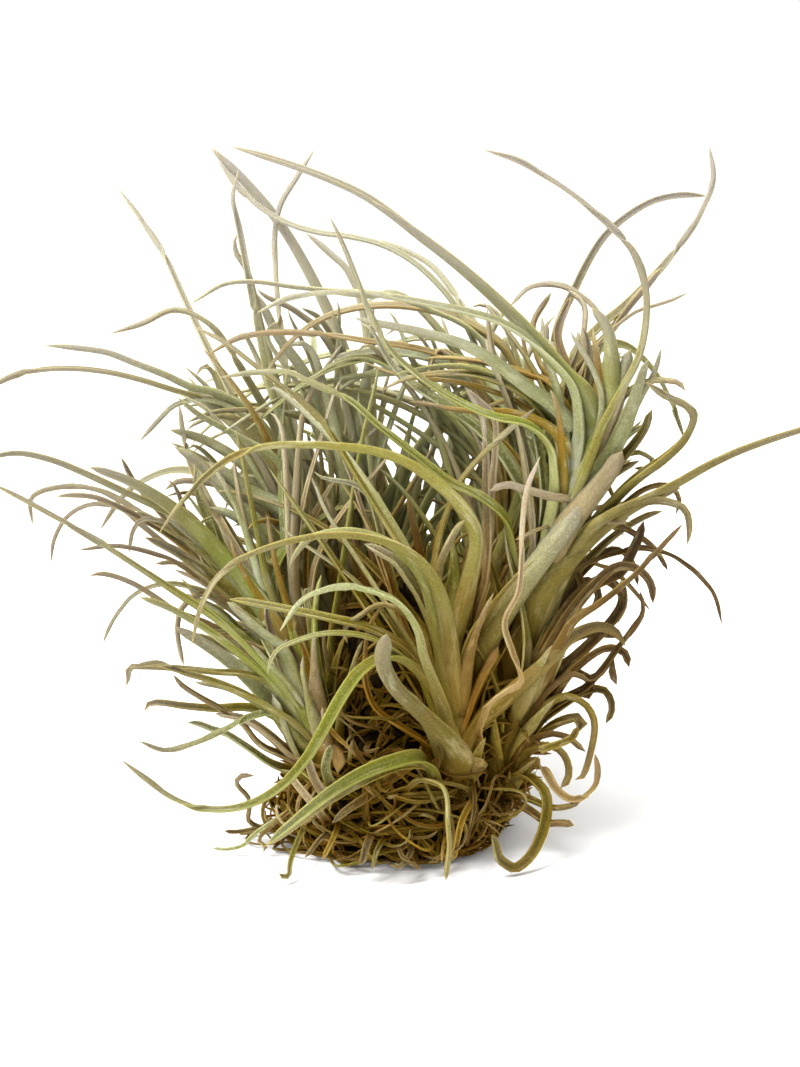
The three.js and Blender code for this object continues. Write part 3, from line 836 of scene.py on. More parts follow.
@dataclass
class Stem:
    """A shoot's round stem, read from its solid."""

    name: str
    axis: np.ndarray
    radii: np.ndarray
    sides: int = 14
    heart_length: float = 4.0

    @classmethod
    def from_solid(cls, node: str) -> "Stem":
        """Read the stem of a shoot's solid.

        Args:
            node: the solid's name.

        Returns:
            The stem, with points 1 mm apart.
        """
        rings, _ = solid_rings(node, STEM_CORNERS)
        axis = rings.mean(axis=1)
        radii = np.linalg.norm(rings - axis[:, None], axis=2).mean(axis=1)
        row = smooth_row(np.column_stack([axis, radii]), 1.0)
        return cls(node[: -len(SHOOT_SUFFIX)], row[:, :3], row[:, 3])

    @property
    def length(self) -> float:
        """Length of the stem's axis."""
        return float(run_of(self.axis)[-1])

    def at(self, run: Union[float, np.ndarray]) -> Tuple[np.ndarray, np.ndarray, np.ndarray]:
        """Axis points, ways along and radii at distances from the foot.

        Args:
            run: one distance from the foot or more.

        Returns:
            Points, unit ways along and radii.
        """
        marks = run_of(self.axis)
        places = np.stack([np.interp(run, marks, column) for column in self.axis.T], axis=-1)
        ways = unit(np.gradient(self.axis, axis=0))
        tangents = np.stack([np.interp(run, marks, column) for column in ways.T], axis=-1)
        return places, unit(tangents), np.interp(run, marks, self.radii)

    def nearest(self, point: np.ndarray) -> Tuple[float, float]:
        """Distance of a point from the axis, and how far up the axis that is."""
        gaps = np.linalg.norm(self.axis - point, axis=1)
        best = int(gaps.argmin())
        return float(gaps[best]), float(run_of(self.axis)[best])

    def around(self, run: float, azimuth: float) -> np.ndarray:
        """The outward direction at a place of the stem.

        Args:
            run: the place's distance from the foot.
            azimuth: angle round the stem, from the side that faces the viewer.

        Returns:
            A unit vector, square to the stem.
        """
        _, way, _ = self.at(run)
        toward_viewer = unit(-VIEW_FORWARD - way * (way @ -VIEW_FORWARD))
        return turned(toward_viewer, way, azimuth)

    def shape(self) -> Shape:
        """The bare stem, with a rounded heart.

        Returns:
            The closed shape.
        """
        uppers = carried_uppers(self.axis, np.array([0.0, 1.0, 0.0]))
        acrosses = np.cross(unit(np.gradient(self.axis, axis=0)), uppers)
        angle = np.linspace(0, 2 * math.pi, self.sides, endpoint=False)[None, :, None]
        left = self.length - run_of(self.axis)
        radius = self.radii * np.sqrt(np.clip(left / self.heart_length, 0.02, 1))
        turn = np.cos(angle) * uppers[:, None] + np.sin(angle) * acrosses[:, None]
        rings = self.axis[:, None] + radius[:, None, None] * turn
        tip = self.axis[-1] + (self.axis[-1] - self.axis[-2]) * 0.3
        count = len(self.axis) * self.sides + 1
        stored = {
            "along": np.full(count, 0.04),
            "across": np.append(np.tile(np.cos(3 * angle.ravel()), len(self.axis)), 0.0),
            "under": np.full(count, 1.0),
            "tone": np.full(count, 0.2),
        }
        return Sweep(rings, tip).shape(stored)


# How a blade leaves its sheath. Distances are from the seat, along the leaf, in millimetres.
SHEATH_OVERLAP = 2.0
SHEATH_GAP = 0.5
BLADE_EMERGES = (-3.0, 11.0)
FOOT_LENGTH = 3.0
SHEATH_SHARE = 0.12
EASING_ROUNDS = 14
# Blades start this far off the stem's skin.
SEAT_GAP = 0.4


@dataclass
class Leaf:
    """A leaf: a sheath that clasps its stem, a channelled blade and a fine tip.

    Its midrib runs from root to tip, with a width and an upper side at each point. The seat is
    how far up the stem the blade leaves it. opening is how far the section bends on each side,
    in radians. tip_reach is the share of the length over which the tip closes, greyed how far
    its colours run towards the tip's, and flare how much wider it is laid flat.
    """

    points: np.ndarray
    widths: np.ndarray
    uppers: np.ndarray
    tone: float
    stem: Optional[Stem] = None
    seat: float = 0.0
    sheath_length: float = 8.0
    sheath_half: float = 2.6
    sheath_skin: float = 0.9
    opening: float = 0.95
    tip_opening: float = 1.3
    tip_reach: float = 0.06
    greyed: float = 1.0
    flare: float = 1.3
    spacing: float = 1.7
    sides: int = 3

    def strip(self) -> Strip:
        """Join the sheath and the blade into one strip.

        Returns:
            The strip, ready to be swept.
        """
        row = np.column_stack([self.points, self.widths, self.uppers])
        row = smooth_row(row, self.spacing)
        run = run_of(row[:, :3])
        length = run[-1]
        held = 0
        if self.stem is not None:
            sheath = self._sheath(row[0, :3])
            row, run = row[run > SHEATH_OVERLAP], run[run > SHEATH_OVERLAP]
            held = len(sheath)
            row = np.vstack([np.insert(sheath, 3, row[0, 3], axis=1), row])
            run = np.concatenate([np.linspace(-self.sheath_length, -SHEATH_GAP, held), run])
            row = self._eased(row, held)
        points, widths, uppers = row[:, :3], row[:, 3], row[:, 4:7]
        share = np.clip(run / length, 0, 1)
        half = widths / 2 * self.flare
        opening = self.opening + (self.tip_opening - self.opening) * smoothstep(share, 0.3, 1.0)
        if held:
            blade = smoothstep(run, *BLADE_EMERGES)
            foot = smoothstep(run, -self.sheath_length, FOOT_LENGTH - self.sheath_length)
            half = self.sheath_half * (0.8 + 0.2 * foot) * (1 - blade) + half * blade
            _, _, radius = self.stem.at(self.seat)
            wrapped = self.sheath_half / (radius + self.sheath_skin)
            opening = wrapped * (1 - blade) + opening * blade
        closing = np.sqrt(np.clip((1 - share) / self.tip_reach, 0.02, 1))
        half = half * closing
        thickness = (0.34 + 0.17 * np.minimum(half, 2.4)) * closing
        thickness = thickness * (0.45 + 0.55 * smoothstep(run, -6, 6))
        sheathed = SHEATH_SHARE * (1 + run / self.sheath_length)
        along = SHEATH_SHARE + (1 - SHEATH_SHARE) * share * self.greyed
        along = np.where(run < 0, sheathed, along)
        return Strip(points, uppers, half, opening, thickness, along, self.tone, self.sides)

    def _sheath(self, root: np.ndarray) -> np.ndarray:
        """The sheath's midrib, from its foot up to the seat.

        Args:
            root: where the blade leaves the stem.

        Returns:
            Rows of a point a little off the stem's skin and its upper side.
        """
        count = max(int(self.sheath_length / 1.2), 4)
        runs = np.linspace(self.seat - self.sheath_length, self.seat - SHEATH_GAP, count)
        centres, ways, radii = self.stem.at(np.clip(runs, 0, None))
        centre, way, _ = self.stem.at(self.seat)
        outward = root - centre
        outward = unit(outward - way * (outward @ way))
        outs = unit(outward - ways * (ways @ outward)[:, None])
        layer = 0.15 + 0.14 * (runs - runs[0])
        below = np.minimum(runs, 0)[:, None] * ways
        return np.hstack([centres + below + outs * (radii + layer)[:, None], -outs])

    @staticmethod
    def _eased(row: np.ndarray, held: int) -> np.ndarray:
        """Round the bend where the sheath turns into the blade.

        Args:
            row: points, widths and upper sides from the sheath's foot to the blade's tip.
            held: how many of them belong to the sheath.

        Returns:
            The rounded row.
        """
        eased = row.copy()
        low, high = max(held - 4, 1), min(held + 6, len(row) - 1)
        for _ in range(EASING_ROUNDS):
            middle = 0.5 * (eased[low - 1 : high - 1] + eased[low + 1 : high + 1])
            eased[low:high] = 0.5 * eased[low:high] + 0.5 * middle
        return eased


def solid_rings(node: str, sides: int) -> Tuple[np.ndarray, np.ndarray]:
    """Read a swept solid back as rings, from its root to its point.

    Args:
        node: the solid's name.
        sides: corners of each ring.

    Returns:
        The rings, as rows of corners, and the point that ends the sweep.
    """
    mesh = frame["nodes"][node].data
    corners = np.array([v.co for v in mesh.vertices]).reshape(-1, 3) / MM
    keys = np.round(corners / 0.002).astype(int)
    _, first, group = np.unique(keys, axis=0, return_index=True, return_inverse=True)
    group = group.reshape(-1)
    places = corners[first]
    near: List[set] = [set() for _ in places]
    angles = np.zeros(len(places))
    for polygon in mesh.polygons:
        ids = [int(group[v]) for v in polygon.vertices]
        for k, here in enumerate(ids):
            left, right = ids[k - 1], ids[(k + 1) % len(ids)]
            near[here].update((left, right))
            a, b = unit(places[left] - places[here]), unit(places[right] - places[here])
            angles[here] += math.acos(float(np.clip(a @ b, -1, 1)))
    candidates = [k for k in range(len(places)) if len(near[k]) == sides]
    apex = min(candidates, key=lambda k: angles[k])
    seen = {apex}
    ring = sorted(near[apex])
    rings = []
    while ring:
        rings.append(places[ring])
        seen.update(ring)
        ring = sorted({other for here in ring for other in near[here]} - seen)
    return np.array(rings[::-1]), places[apex]


def leaf_row(node: str) -> np.ndarray:
    """Read a leaf's solid back.

    Args:
        node: the solid's name.

    Returns:
        Rows of a midrib point, a width and an upper side, from root to tip.
    """
    rings, apex = solid_rings(node, LEAF_CORNERS)
    rows = []
    for ring in rings:
        gaps = np.linalg.norm(ring[:, None] - ring[None], axis=2)
        left, right = np.unravel_index(gaps.argmax(), gaps.shape)
        inner = np.delete(ring, [left, right], axis=0).mean(axis=0)
        upper = unit((ring[left] + ring[right]) / 2 - inner)
        rows.append(np.concatenate([inner, [gaps.max()], upper]))
    rows.append(np.concatenate([apex, [rows[-1][3] * 0.7], rows[-1][4:]]))
    made = np.array(rows)
    made[:2, 3] = made[2, 3]
    return made


def drawn_row(places: Places) -> Tuple[np.ndarray, np.ndarray]:
    """A drawn midrib from root to tip.

    Args:
        places: its places on the sheet from tip to root.

    Returns:
        The places from root to tip, and how far along the midrib each one is, from 0 to 1.
    """
    row = np.array(places, float).reshape(-1, 2)[::-1]
    run = run_of(row)
    return row, run / run[-1]


def at_depths(row: np.ndarray, depths: np.ndarray) -> np.ndarray:
    """Points behind places of the sheet, each at its depth."""
    return np.array([sight_point(u, w, y) for (u, w), y in zip(row, depths)])


# Drawn widths leave out the blurred edge of a leaf.
DRAWN_GROWTH = 1.12
DRAWN_EDGE = 0.3


@dataclass(frozen=True)
class Trace:
    """A leaf drawn on the sheet.

    It has its seat as a share of the stem, its width and depth at tip and root, and its places
    from tip to root.
    """

    seat: float
    tint: Tint
    widths: Tuple[float, float]
    depths: Tuple[float, float]
    places: Places
    blunt: bool = False

    def leaf(self, stem: Stem, tone: float) -> Leaf:
        """Grow the drawn leaf from its stem.

        Args:
            stem: the stem it grows on.
            tone: how light it is.

        Returns:
            The leaf.
        """
        (tip_width, root_width), (tip_depth, root_depth) = self.widths, self.depths
        drawn, share = drawn_row(self.places)
        points = at_depths(drawn, root_depth + (tip_depth - root_depth) * share)
        run = self.seat * stem.length
        centre, way, radius = stem.at(run)
        outward = points[0] - centre
        outward = unit(outward - way * (outward @ way))
        points = np.vstack([centre + outward * (radius + SEAT_GAP), points])
        share = run_of(points) / run_of(points)[-1]
        widths = root_width + (tip_width - root_width) * share
        return Leaf(
            points,
            DRAWN_GROWTH * widths + DRAWN_EDGE,
            carried_uppers(points, way - outward),
            tone,
            stem,
            run,
            sheath_length=min(5.0 + 1.2 * root_width, run + 2.0),
            sheath_half=min(1.2 + 0.6 * root_width, 3.2),
            tip_reach=0.02 if self.blunt else 0.06,
            spacing=1.4,
        )


# The drawn leaves of each shoot.
TRACES = {
    "back_centre": (
        Trace(0.9, Tint.PALE, (0.9, 1.6), (30, 28), (-18.8, 123.4, -16.4, 121.5, -13.7, 119.1,
            -11, 116.7, -9.7, 114.5, -8.3, 111.5, -6, 98)),
        Trace(0.8, Tint.BROWN, (0.7, 1.5), (8, 24), (-28.5, 112.1, -26.9, 110.7, -21.8, 108.3,
            -19.1, 106.4, -17, 104.8, -12, 97, -8, 84)),
        Trace(0.6, Tint.SILVER, (0.7, 1.6), (6, 24), (-13.5, 108, -13.2, 106.2, -12.1, 103.2,
            -11, 98, -8, 84)),
        Trace(0.95, Tint.OLIVE, (0.6, 1.3), (0, 20), (-42.6, 85.5, -37.4, 87.4, -31.2, 87.9,
            -23.7, 87.5, -17.8, 85.4, -10, 81)),
        Trace(0.3, Tint.OCHRE, (1, 2.6), (1, 8), (-6.5, 62.5, -4.4, 56, -2, 47)),
        Trace(0.36, Tint.OCHRE, (0.9, 2.4), (0, 7), (-11, 66.5, -8.4, 59, -5, 49)),
        Trace(0.42, Tint.OLIVE, (0.9, 2.6), (2, 9), (-15, 71, -11.4, 62.5, -7, 52)),
        Trace(0.9, Tint.PALE, (1.4, 2.2), (22, 28), (-37.6, 140.2, -31, 133.6, -24.8, 126.3,
            -19, 117, -12, 102, -8, 88)),
        Trace(0.85, Tint.SILVER, (1.2, 3.4), (12, 20), (-28.5, 111, -24.6, 102.8, -19.9, 96.2,
            -17.1, 90.5, -14.3, 83, -10, 72)),
    ),
    "back_left": (
        Trace(0.9, Tint.OLIVE, (0.7, 1.3), (10, 14), (-32.6, 123.1, -33.1, 121.5, -32.7, 119.3,
            -31.5, 117.5, -30.4, 115.6, -27.5, 104, -23, 88)),
        Trace(0.72, Tint.SILVER, (0.8, 1.7), (-2, 12), (-71, 100.9, -65.2, 100.3, -58.5, 99.3,
            -53.1, 97.2, -46.9, 94.8, -41.8, 92.4, -36, 91, -27, 84)),
        Trace(0.8, Tint.SILVER, (0.6, 1.3), (6, 11), (-52, 81.8, -49, 85.1, -47.2, 87, -45, 88.9,
            -38, 90, -27, 83)),
        Trace(0.8, Tint.SILVER, (1.6, 5), (10, 14), (-43, 93, -39, 90.6, -34.1, 86.8, -28.4, 82,
            -23.7, 77, -19, 71, -16, 64)),
        Trace(0.9, Tint.SILVER, (1.8, 4.8), (4, 8), (-41, 77, -35.5, 75, -30.3, 71, -23.7, 67.4,
            -18.5, 62)),
        Trace(0.7, Tint.PALE, (0.8, 2.6), (8, 10), (-47, 72, -44.5, 73.5, -41.4, 73.6, -35, 72.3,
            -29, 68.5, -21, 61)),
        Trace(0.6, Tint.GREEN, (1.2, 3.8), (12, 12), (-46, 84, -38.5, 81.5, -31, 76.5, -24, 69,
            -18, 60)),
        Trace(0.5, Tint.SILVER, (1.2, 4.2), (0, 6), (-38, 68.5, -32.5, 66, -27, 61, -21, 54,
            -17, 47)),
        Trace(0.75, Tint.SILVER, (1.6, 4.8), (2, 8), (-45, 80.5, -40, 76.6, -35, 70.8, -29, 64,
            -23, 56)),
    ),
    "back_right": (
        Trace(0.8, Tint.SILVER, (0.7, 1.4), (-4, 14), (-42, 109.1, -39.8, 110.5, -37.4, 112.1,
            -35, 113.2, -29.9, 113.7, -20.5, 112.5, -12.4, 111.8, -4.3, 111.3, 6, 108, 16, 102)),
        Trace(0.75, Tint.OCHRE, (1, 2.6), (8, 14), (8.1, 100.2, 11.1, 97.2, 14.3, 94.5, 16.5, 91.3,
            20, 84)),
        Trace(0.68, Tint.OCHRE, (1, 2.2), (8, 14), (5.4, 94.5, 7.8, 99.9, 12, 97, 17, 86)),
        Trace(0.9, Tint.OLIVE, (0.8, 1.4), (34, 22), (61.1, 130.8, 56.1, 131, 50.5, 129.8,
            44.9, 126.5, 40.5, 122.4, 37.2, 117.1, 34.9, 112.4, 31.5, 105, 30, 97)),
        Trace(0.85, Tint.PALE, (0.4, 1.2), (22, 20), (57.6, 111.5, 54.3, 110, 50.2, 108.7,
            46.7, 107.4, 38, 99)),
        Trace(0.3, Tint.OCHRE, (1, 2.6), (-2, 6), (8.2, 66, 7, 59, 8, 49.5)),
        Trace(0.35, Tint.OCHRE, (1, 2.8), (0, 6), (1.4, 70.5, 3, 62.5, 5.4, 52.6)),
        Trace(0.25, Tint.BROWN, (1, 2.4), (-3, 5), (14.6, 63, 12.8, 55.5, 12, 46)),
        Trace(0.95, Tint.BROWN, (1.8, 2.6), (24, 20), (52.4, 116.4, 49.8, 113.1, 46, 108.7,
            42.3, 103.6, 37, 98, 32, 92)),
        Trace(0.95, Tint.SILVER, (1.2, 4.2), (10, 14), (-14, 98, -4, 99.5, 6, 98.2, 14, 94.5,
            21, 88.5, 26, 81)),
    ),
    "left_mid": (
        Trace(0.9, Tint.OLIVE, (0.7, 1.5), (-4, -2), (-55.8, 78.5, -54.7, 76, -53.3, 73.5,
            -52, 71.9, -50.9, 70.6, -44, 63, -36, 56)),
        Trace(0.8, Tint.OCHRE, (0.7, 1.4), (12, 2), (-68.7, 70.7, -65.5, 70.8, -62.8, 70.7,
            -60.6, 70.3, -58.5, 69.5, -48, 64, -38, 56)),
        Trace(0.84, Tint.BROWN, (0.5, 1.2), (6, 2), (-54.2, 59.3, -53.8, 61.7, -53.3, 63.8,
            -51.5, 66, -46, 65, -38, 57)),
        Trace(0.5, Tint.BROWN, (0.9, 1.7), (-10, -7), (-62.1, 54.8, -60.1, 55.2, -57.9, 54.9,
            -53.6, 53.3, -49.6, 50.9, -45, 47.8, -37, 44.5, -30, 39)),
        Trace(0.55, Tint.SILVER, (0.4, 1.3), (2, 0), (-59.4, 41.2, -58.5, 43.6, -57.1, 46.3,
            -55.5, 48.5, -53.6, 50.6, -50, 52.5, -44, 53, -34, 48)),
        Trace(0.7, Tint.PALE, (0.6, 1.7), (-12, -8), (-43.2, 36.9, -43.7, 39.3, -44.2, 42,
            -44.3, 44.7, -43.6, 48, -40, 51, -34, 48)),
        Trace(0.35, Tint.GREEN, (1, 3.2), (-18, -8), (-52.6, 56.7, -49.5, 54.4, -44.5, 51,
            -36.9, 46, -30, 40.5, -24, 35)),
        Trace(0.2, Tint.OLIVE, (0.8, 2.4), (-14, -8), (-41.4, 43.4, -36.9, 41.5, -31, 38,
            -25, 33)),
        Trace(0.9, Tint.GREEN, (1, 3.4), (-20, -8), (-62, 76.5, -54, 73.5, -46, 68.5, -38, 61,
            -32, 54)),
        Trace(0.9, Tint.OLIVE, (1, 3.8), (-12, -6), (-51, 62.5, -45, 59.6, -38, 54.5, -31, 48,
            -26, 42)),
        Trace(0.6, Tint.SILVER, (1.2, 4.2), (-8, -4), (-47, 67, -41.5, 62.5, -36, 57, -30, 49,
            -25, 41)),
        Trace(0.75, Tint.BROWN, (0.8, 2.4), (-4, -4), (-49, 57.2, -44.6, 57.4, -39, 54.2,
            -33, 48.6, -27, 42)),
    ),
    "left_low": (
        Trace(0.65, Tint.OLIVE, (1, 1.8), (-26, -17), (-54.7, 32.8, -54, 35, -54.2, 36.3,
            -52, 36.5, -43.7, 36.1, -36.6, 35.4, -31.2, 35, -25.8, 33)),
        Trace(0.45, Tint.BROWN, (0.8, 1.7), (-22, -14), (-45.3, 35, -43.9, 33.1, -40.1, 30.5,
            -35.8, 28.1, -31.5, 25.1, -28.2, 21.1, -22, 18)),
        Trace(0.6, Tint.OLIVE, (1, 1.9), (-18, -12), (-51.1, 27.8, -50.3, 29, -48.4, 29.3,
            -43.3, 28.6, -37.1, 28.1, -31, 28.3, -25, 27)),
        Trace(0.3, Tint.SILVER, (0.9, 1.9), (-20, -10), (-42.5, 25.5, -40.1, 25, -37.7, 24,
            -35.2, 23.2, -30.9, 20.5, -26.3, 17.3, -21, 15)),
        Trace(0.1, Tint.BROWN, (0.7, 1), (-18, -10), (-29.3, 14.9, -32, 14.8, -32.8, 13.8,
            -32.3, 12.5, -30.9, 11.1, -30.1, 9.8, -30.1, 5.5, -24, 4)),
        Trace(0.8, Tint.GREEN, (1.2, 3.2), (-26, -16), (-52, 50.5, -46, 48.2, -38, 43.5, -30, 37.2,
            -23, 30)),
        Trace(0.7, Tint.GREEN, (1, 3.8), (-22, -14), (-41, 33.5, -35, 32.4, -29, 29.5, -23, 24.5,
            -18.5, 18)),
        Trace(0.55, Tint.PALE, (1, 3.6), (-20, -13), (-37, 27.2, -31, 25.8, -25.5, 22, -20.5, 17)),
        Trace(0.9, Tint.SILVER, (1.2, 4.4), (-16, -12), (-45, 44.6, -38, 40.6, -31, 35.5,
            -25, 29.5, -20, 23)),
        Trace(0.8, Tint.OCHRE, (0.8, 3), (-14, -10), (-36, 38.6, -32.5, 36.2, -27.5, 31,
            -22.5, 24.5)),
        Trace(0.35, Tint.SILVER, (2.6, 3.6), (-18, -12), (-25.5, 31, -22.7, 23, -20, 17.4,
            -18.2, 12)),
        Trace(0.3, Tint.PALE, (3.4, 3.2), (-20, -16), (-12.5, 15.5, -13, 18.5,
            -15.5, 20.5), blunt=True),
        Trace(0.5, Tint.GREEN, (1.2, 3), (-17, -14), (-29, 36, -25.5, 31.5, -21.5, 26, -17.5, 20)),
    ),
    "front": (
        Trace(0.7, Tint.OLIVE, (0.8, 2), (-20, -17), (13, 66, 12.2, 65.4, 10.3, 62.5, 8.7, 59.2,
            7.6, 56, 7, 48)),
        Trace(0.9, Tint.PALE, (0.7, 1.8), (-6, -9), (13, 92.5, 16, 90, 19, 86.7, 19, 76, 17, 62)),
        Trace(0.68, Tint.GREEN, (0.8, 2.4), (-34, -22), (-22, 57, -20.7, 59.2, -17.8, 62.2,
            -12.4, 63.5, -8.3, 63.3, -1.6, 60.6, 5, 53)),
        Trace(0.5, Tint.OLIVE, (1.2, 2.6), (-26, -17), (-33.9, 50.1, -29.9, 49.3, -21.8, 47.7,
            -13.7, 46, -6, 44, 2, 39)),
        Trace(0.46, Tint.GREEN, (0.5, 1.6), (-30, -19), (-26.5, 35.3, -25.8, 37.7, -24.5, 39.8,
            -19.9, 42, -13.7, 43.3, -5, 42, 3, 36)),
        Trace(0.6, Tint.OLIVE, (0.7, 1.4), (-20, -17), (-10.5, 41.5, -11, 43.6, -10.2, 45.2,
            -8.1, 46.6, -3.5, 49, 4, 44)),
        Trace(0.55, Tint.SILVER, (1.8, 3.2), (-16, -15), (-7, 61.1, -4, 59.2, -1.3, 57.6,
            1.4, 53.8, 3.5, 50.6, 7, 41)),
        Trace(0.1, Tint.OLIVE, (1, 3), (-25, -19), (-13.5, 5.5, -10.8, 7.9, -6.2, 11, -1.7, 14.7,
            2.9, 17.5)),
        Trace(0.15, Tint.SILVER, (3.2, 4.6), (-20, -16), (16.5, 18, 14, 15.2,
            11.5, 13), blunt=True),
        Trace(0.24, Tint.OLIVE, (2.2, 5.2), (-43.5, -25), (-2.7, 43, -3.9, 37.6, -1.8, 32.4,
            3, 27.4, 8.2, 22.4, 11, 19)),
        Trace(0.12, Tint.GREEN, (1, 4), (-49, -27), (-26.4, 1.2, -21.5, 5.2, -15.2, 10.2,
            -8.5, 14.4, -2, 17, 4, 18)),
        Trace(0.3, Tint.OCHRE, (1.2, 2.4), (-16, -14), (3.2, 32, 4.2, 29, 6, 24, 8, 19)),
        Trace(0.12, Tint.OLIVE, (1.4, 4.2), (-16, -18), (45, 41, 43.5, 43.4, 40, 44.9, 34.2, 42.9,
            28.7, 37.5, 21.2, 31, 14.5, 25, 12, 20)),
        Trace(0.2, Tint.OCHRE, (2.6, 3.6), (-15, -16), (19.5, 40.5, 17, 36.5, 14.5, 31,
            12.5, 25), blunt=True),
    ),
    "right_high": (
        Trace(0.55, Tint.PALE, (1, 1.6), (-18, -12), (18.1, 71.9, 21.8, 72.9, 24.3, 72.2,
            29.9, 70.6, 34.5, 69.2), blunt=True),
        Trace(0.42, Tint.SILVER, (2.6, 5), (-11.5, -8), (35, 70.5, 32.3, 66.5, 30.2, 63.4,
            28.4, 60.5, 26.4, 57.2)),
        Trace(0.9, Tint.OLIVE, (0.7, 1.2), (-20, -12), (57.1, 91.8, 56.4, 92.7, 54.9, 93.6,
            52.9, 93.8, 50.5, 93.8, 45, 91)),
        Trace(0.75, Tint.SILVER, (0.5, 3.4), (-16, -10), (52.2, 100.3, 51.8, 98.3, 51.1, 95.9,
            50.1, 93.8, 47.3, 88.5, 45.2, 82.6, 41, 76)),
        Trace(0.95, Tint.OCHRE, (1, 1.7), (6, -1), (30.2, 111.5, 28.3, 108.8, 27, 106.7,
            26.4, 104.5, 28, 97, 34, 90)),
        Trace(1, Tint.PALE, (1, 1.5), (0, -3), (33.7, 112, 36.7, 109, 36.8, 104.7, 36.5, 101.8,
            39, 92)),
        Trace(0.7, Tint.SILVER, (0.4, 1.9), (-14, -12), (34.1, 103.7, 35.6, 101, 37.2, 98.6,
            39.3, 94.7, 40.5, 90, 39, 80)),
        Trace(0.45, Tint.OLIVE, (0.9, 4), (-20, -14), (57.4, 61.1, 57.7, 63.5, 57.6, 65.7,
            56.9, 67.8, 55.3, 68.9, 50, 69.5, 40, 65)),
        Trace(0.85, Tint.OLIVE, (0.6, 1.3), (-2, -6), (46.8, 76.4, 49.8, 76.2, 50.4, 78,
            48.1, 79.4, 44.5, 80)),
        Trace(0.7, Tint.BROWN, (0.9, 1.8), (4, -4), (53.5, 56, 51, 60, 47, 63, 42, 65, 37, 62)),
        Trace(0.5, Tint.BROWN, (0.8, 1.6), (6, -2), (47.5, 53, 46.5, 57.5, 43, 60, 38, 57,
            33, 52)),
        Trace(0.1, Tint.SILVER, (3.4, 4.8), (-15, -12), (36.4, 69.6, 33.6, 66, 30.6, 62, 27, 57.4,
            23, 52, 18.6, 45.6, 15.2, 39)),
        Trace(0.56, Tint.PALE, (2.6, 5.4), (-17, -14), (44.4, 79.5, 42.6, 76, 39.8, 72, 36.8, 68.2,
            34, 64.5)),
        Trace(0.8, Tint.SILVER, (1.2, 5.4), (-16, -12), (49.6, 98, 48, 92, 45.6, 85, 42.4, 77.5)),
        Trace(0.9, Tint.SILVER, (1.4, 5.4), (-13, -10), (46, 100, 44.2, 94, 42, 88, 39, 81)),
        Trace(0.96, Tint.GREEN, (0.6, 4.2), (-28, -12), (-5.4, 129.8, 4.5, 122.4, 12.8, 115.7,
            23.4, 105.6, 31.6, 96.2, 37, 89.5)),
        Trace(0.6, Tint.OLIVE, (0.7, 2.4), (-24.5, -12), (49.6, 93.2, 52.8, 90.9, 57.2, 89,
            58.9, 86.6, 56.6, 81.6, 51.4, 76.8, 45.6, 72.4, 40, 67)),
        Trace(0.5, Tint.BROWN, (0.8, 1.6), (-4, -6), (55.2, 67.2, 55.8, 70.4, 53.4, 72.8, 49, 72,
            43, 67, 38, 61)),
        Trace(0.86, Tint.GREEN, (1.2, 4.6), (-15, -11), (38.4, 108.4, 41.3, 104.3, 42.3, 98,
            42.2, 91.5, 40, 84)),
        Trace(0.8, Tint.OCHRE, (1, 2.2), (2, -4), (34.1, 110.6, 32.6, 107.2, 31.4, 104,
            31.8, 100.5, 35, 93, 38, 86)),
        Trace(0.7, Tint.OLIVE, (1.4, 3.6), (-8, -8), (50.4, 88, 49.4, 84.5, 46.8, 80.5, 43, 76)),
        Trace(0.36, Tint.OLIVE, (1.2, 5.2), (-13.5, -11), (56, 72.4, 50.5, 70.4, 44.5, 67.2,
            38.5, 62.6, 33, 57, 28, 51)),
        Trace(0.3, Tint.OLIVE, (1, 3), (4, -3), (52.6, 67.8, 49, 66.5, 44, 63.4, 38, 58, 32, 51)),
        Trace(0.18, Tint.SILVER, (2.4, 5.6), (-10, -7), (27.5, 57.5, 24.5, 53, 20.5, 47.5,
            17, 42)),
        Trace(0.3, Tint.BROWN, (2, 4.4), (-9, -6), (35.5, 63.5, 32, 58.5, 28, 53, 24, 48)),
        Trace(0.97, Tint.SILVER, (1, 4.6), (-12, -9), (-9, 106.4, 4, 104, 13, 101.5, 20, 97.6,
            25.5, 93.4, 31.8, 89.2, 37, 84)),
    ),
    "right_low": (
        Trace(0.95, Tint.BROWN, (1.4, 2.4), (-6, -8), (48.7, 65.7, 47.9, 63, 46.7, 60.3, 44, 55.5,
            42.1, 54.7, 37, 52, 31, 44)),
        Trace(0.8, Tint.BROWN, (1.5, 2), (-4, -7), (44.2, 53.8, 44.8, 51.7, 44.6, 49, 43.4, 46.8,
            41.8, 44.7, 36, 39)),
        Trace(0.72, Tint.BROWN, (1.1, 2), (-13, -11), (45.8, 36.6, 44.5, 39.6, 41, 40, 33, 34)),
        Trace(0.6, Tint.BROWN, (1.1, 2), (-13, -11), (43.3, 33.1, 42.5, 35.2, 42.2, 37.4, 40.1, 35,
            38, 34, 34.9, 35.3, 31, 30)),
        Trace(0.5, Tint.BROWN, (1, 1.7), (-16, -13), (37.8, 33.9, 35.9, 34.7, 34, 35, 27.5, 29)),
        Trace(0.6, Tint.OLIVE, (1.1, 2), (-18, -12), (35.1, 14.1, 36.2, 14.6, 37.9, 19.5,
            38.7, 25.1, 38, 27.5, 36.4, 29.4, 31.8, 30.8, 27, 28)),
        Trace(0.3, Tint.OLIVE, (1.4, 2.2), (-17, -12), (32.1, 12.5, 32.9, 13.5, 33.6, 15.4,
            33.2, 17.8, 31.6, 20, 26, 21)),
        Trace(0.2, Tint.OLIVE, (1, 1.7), (-20, -14), (36.2, 9.8, 34.3, 8.8, 31.8, 8.3, 29.7, 8.4,
            24, 11)),
        Trace(0.3, Tint.OLIVE, (1.4, 1.9), (-30, -14), (18.4, 3, 18.9, 0.9, 19.5, -1.5, 21.1, -2.9,
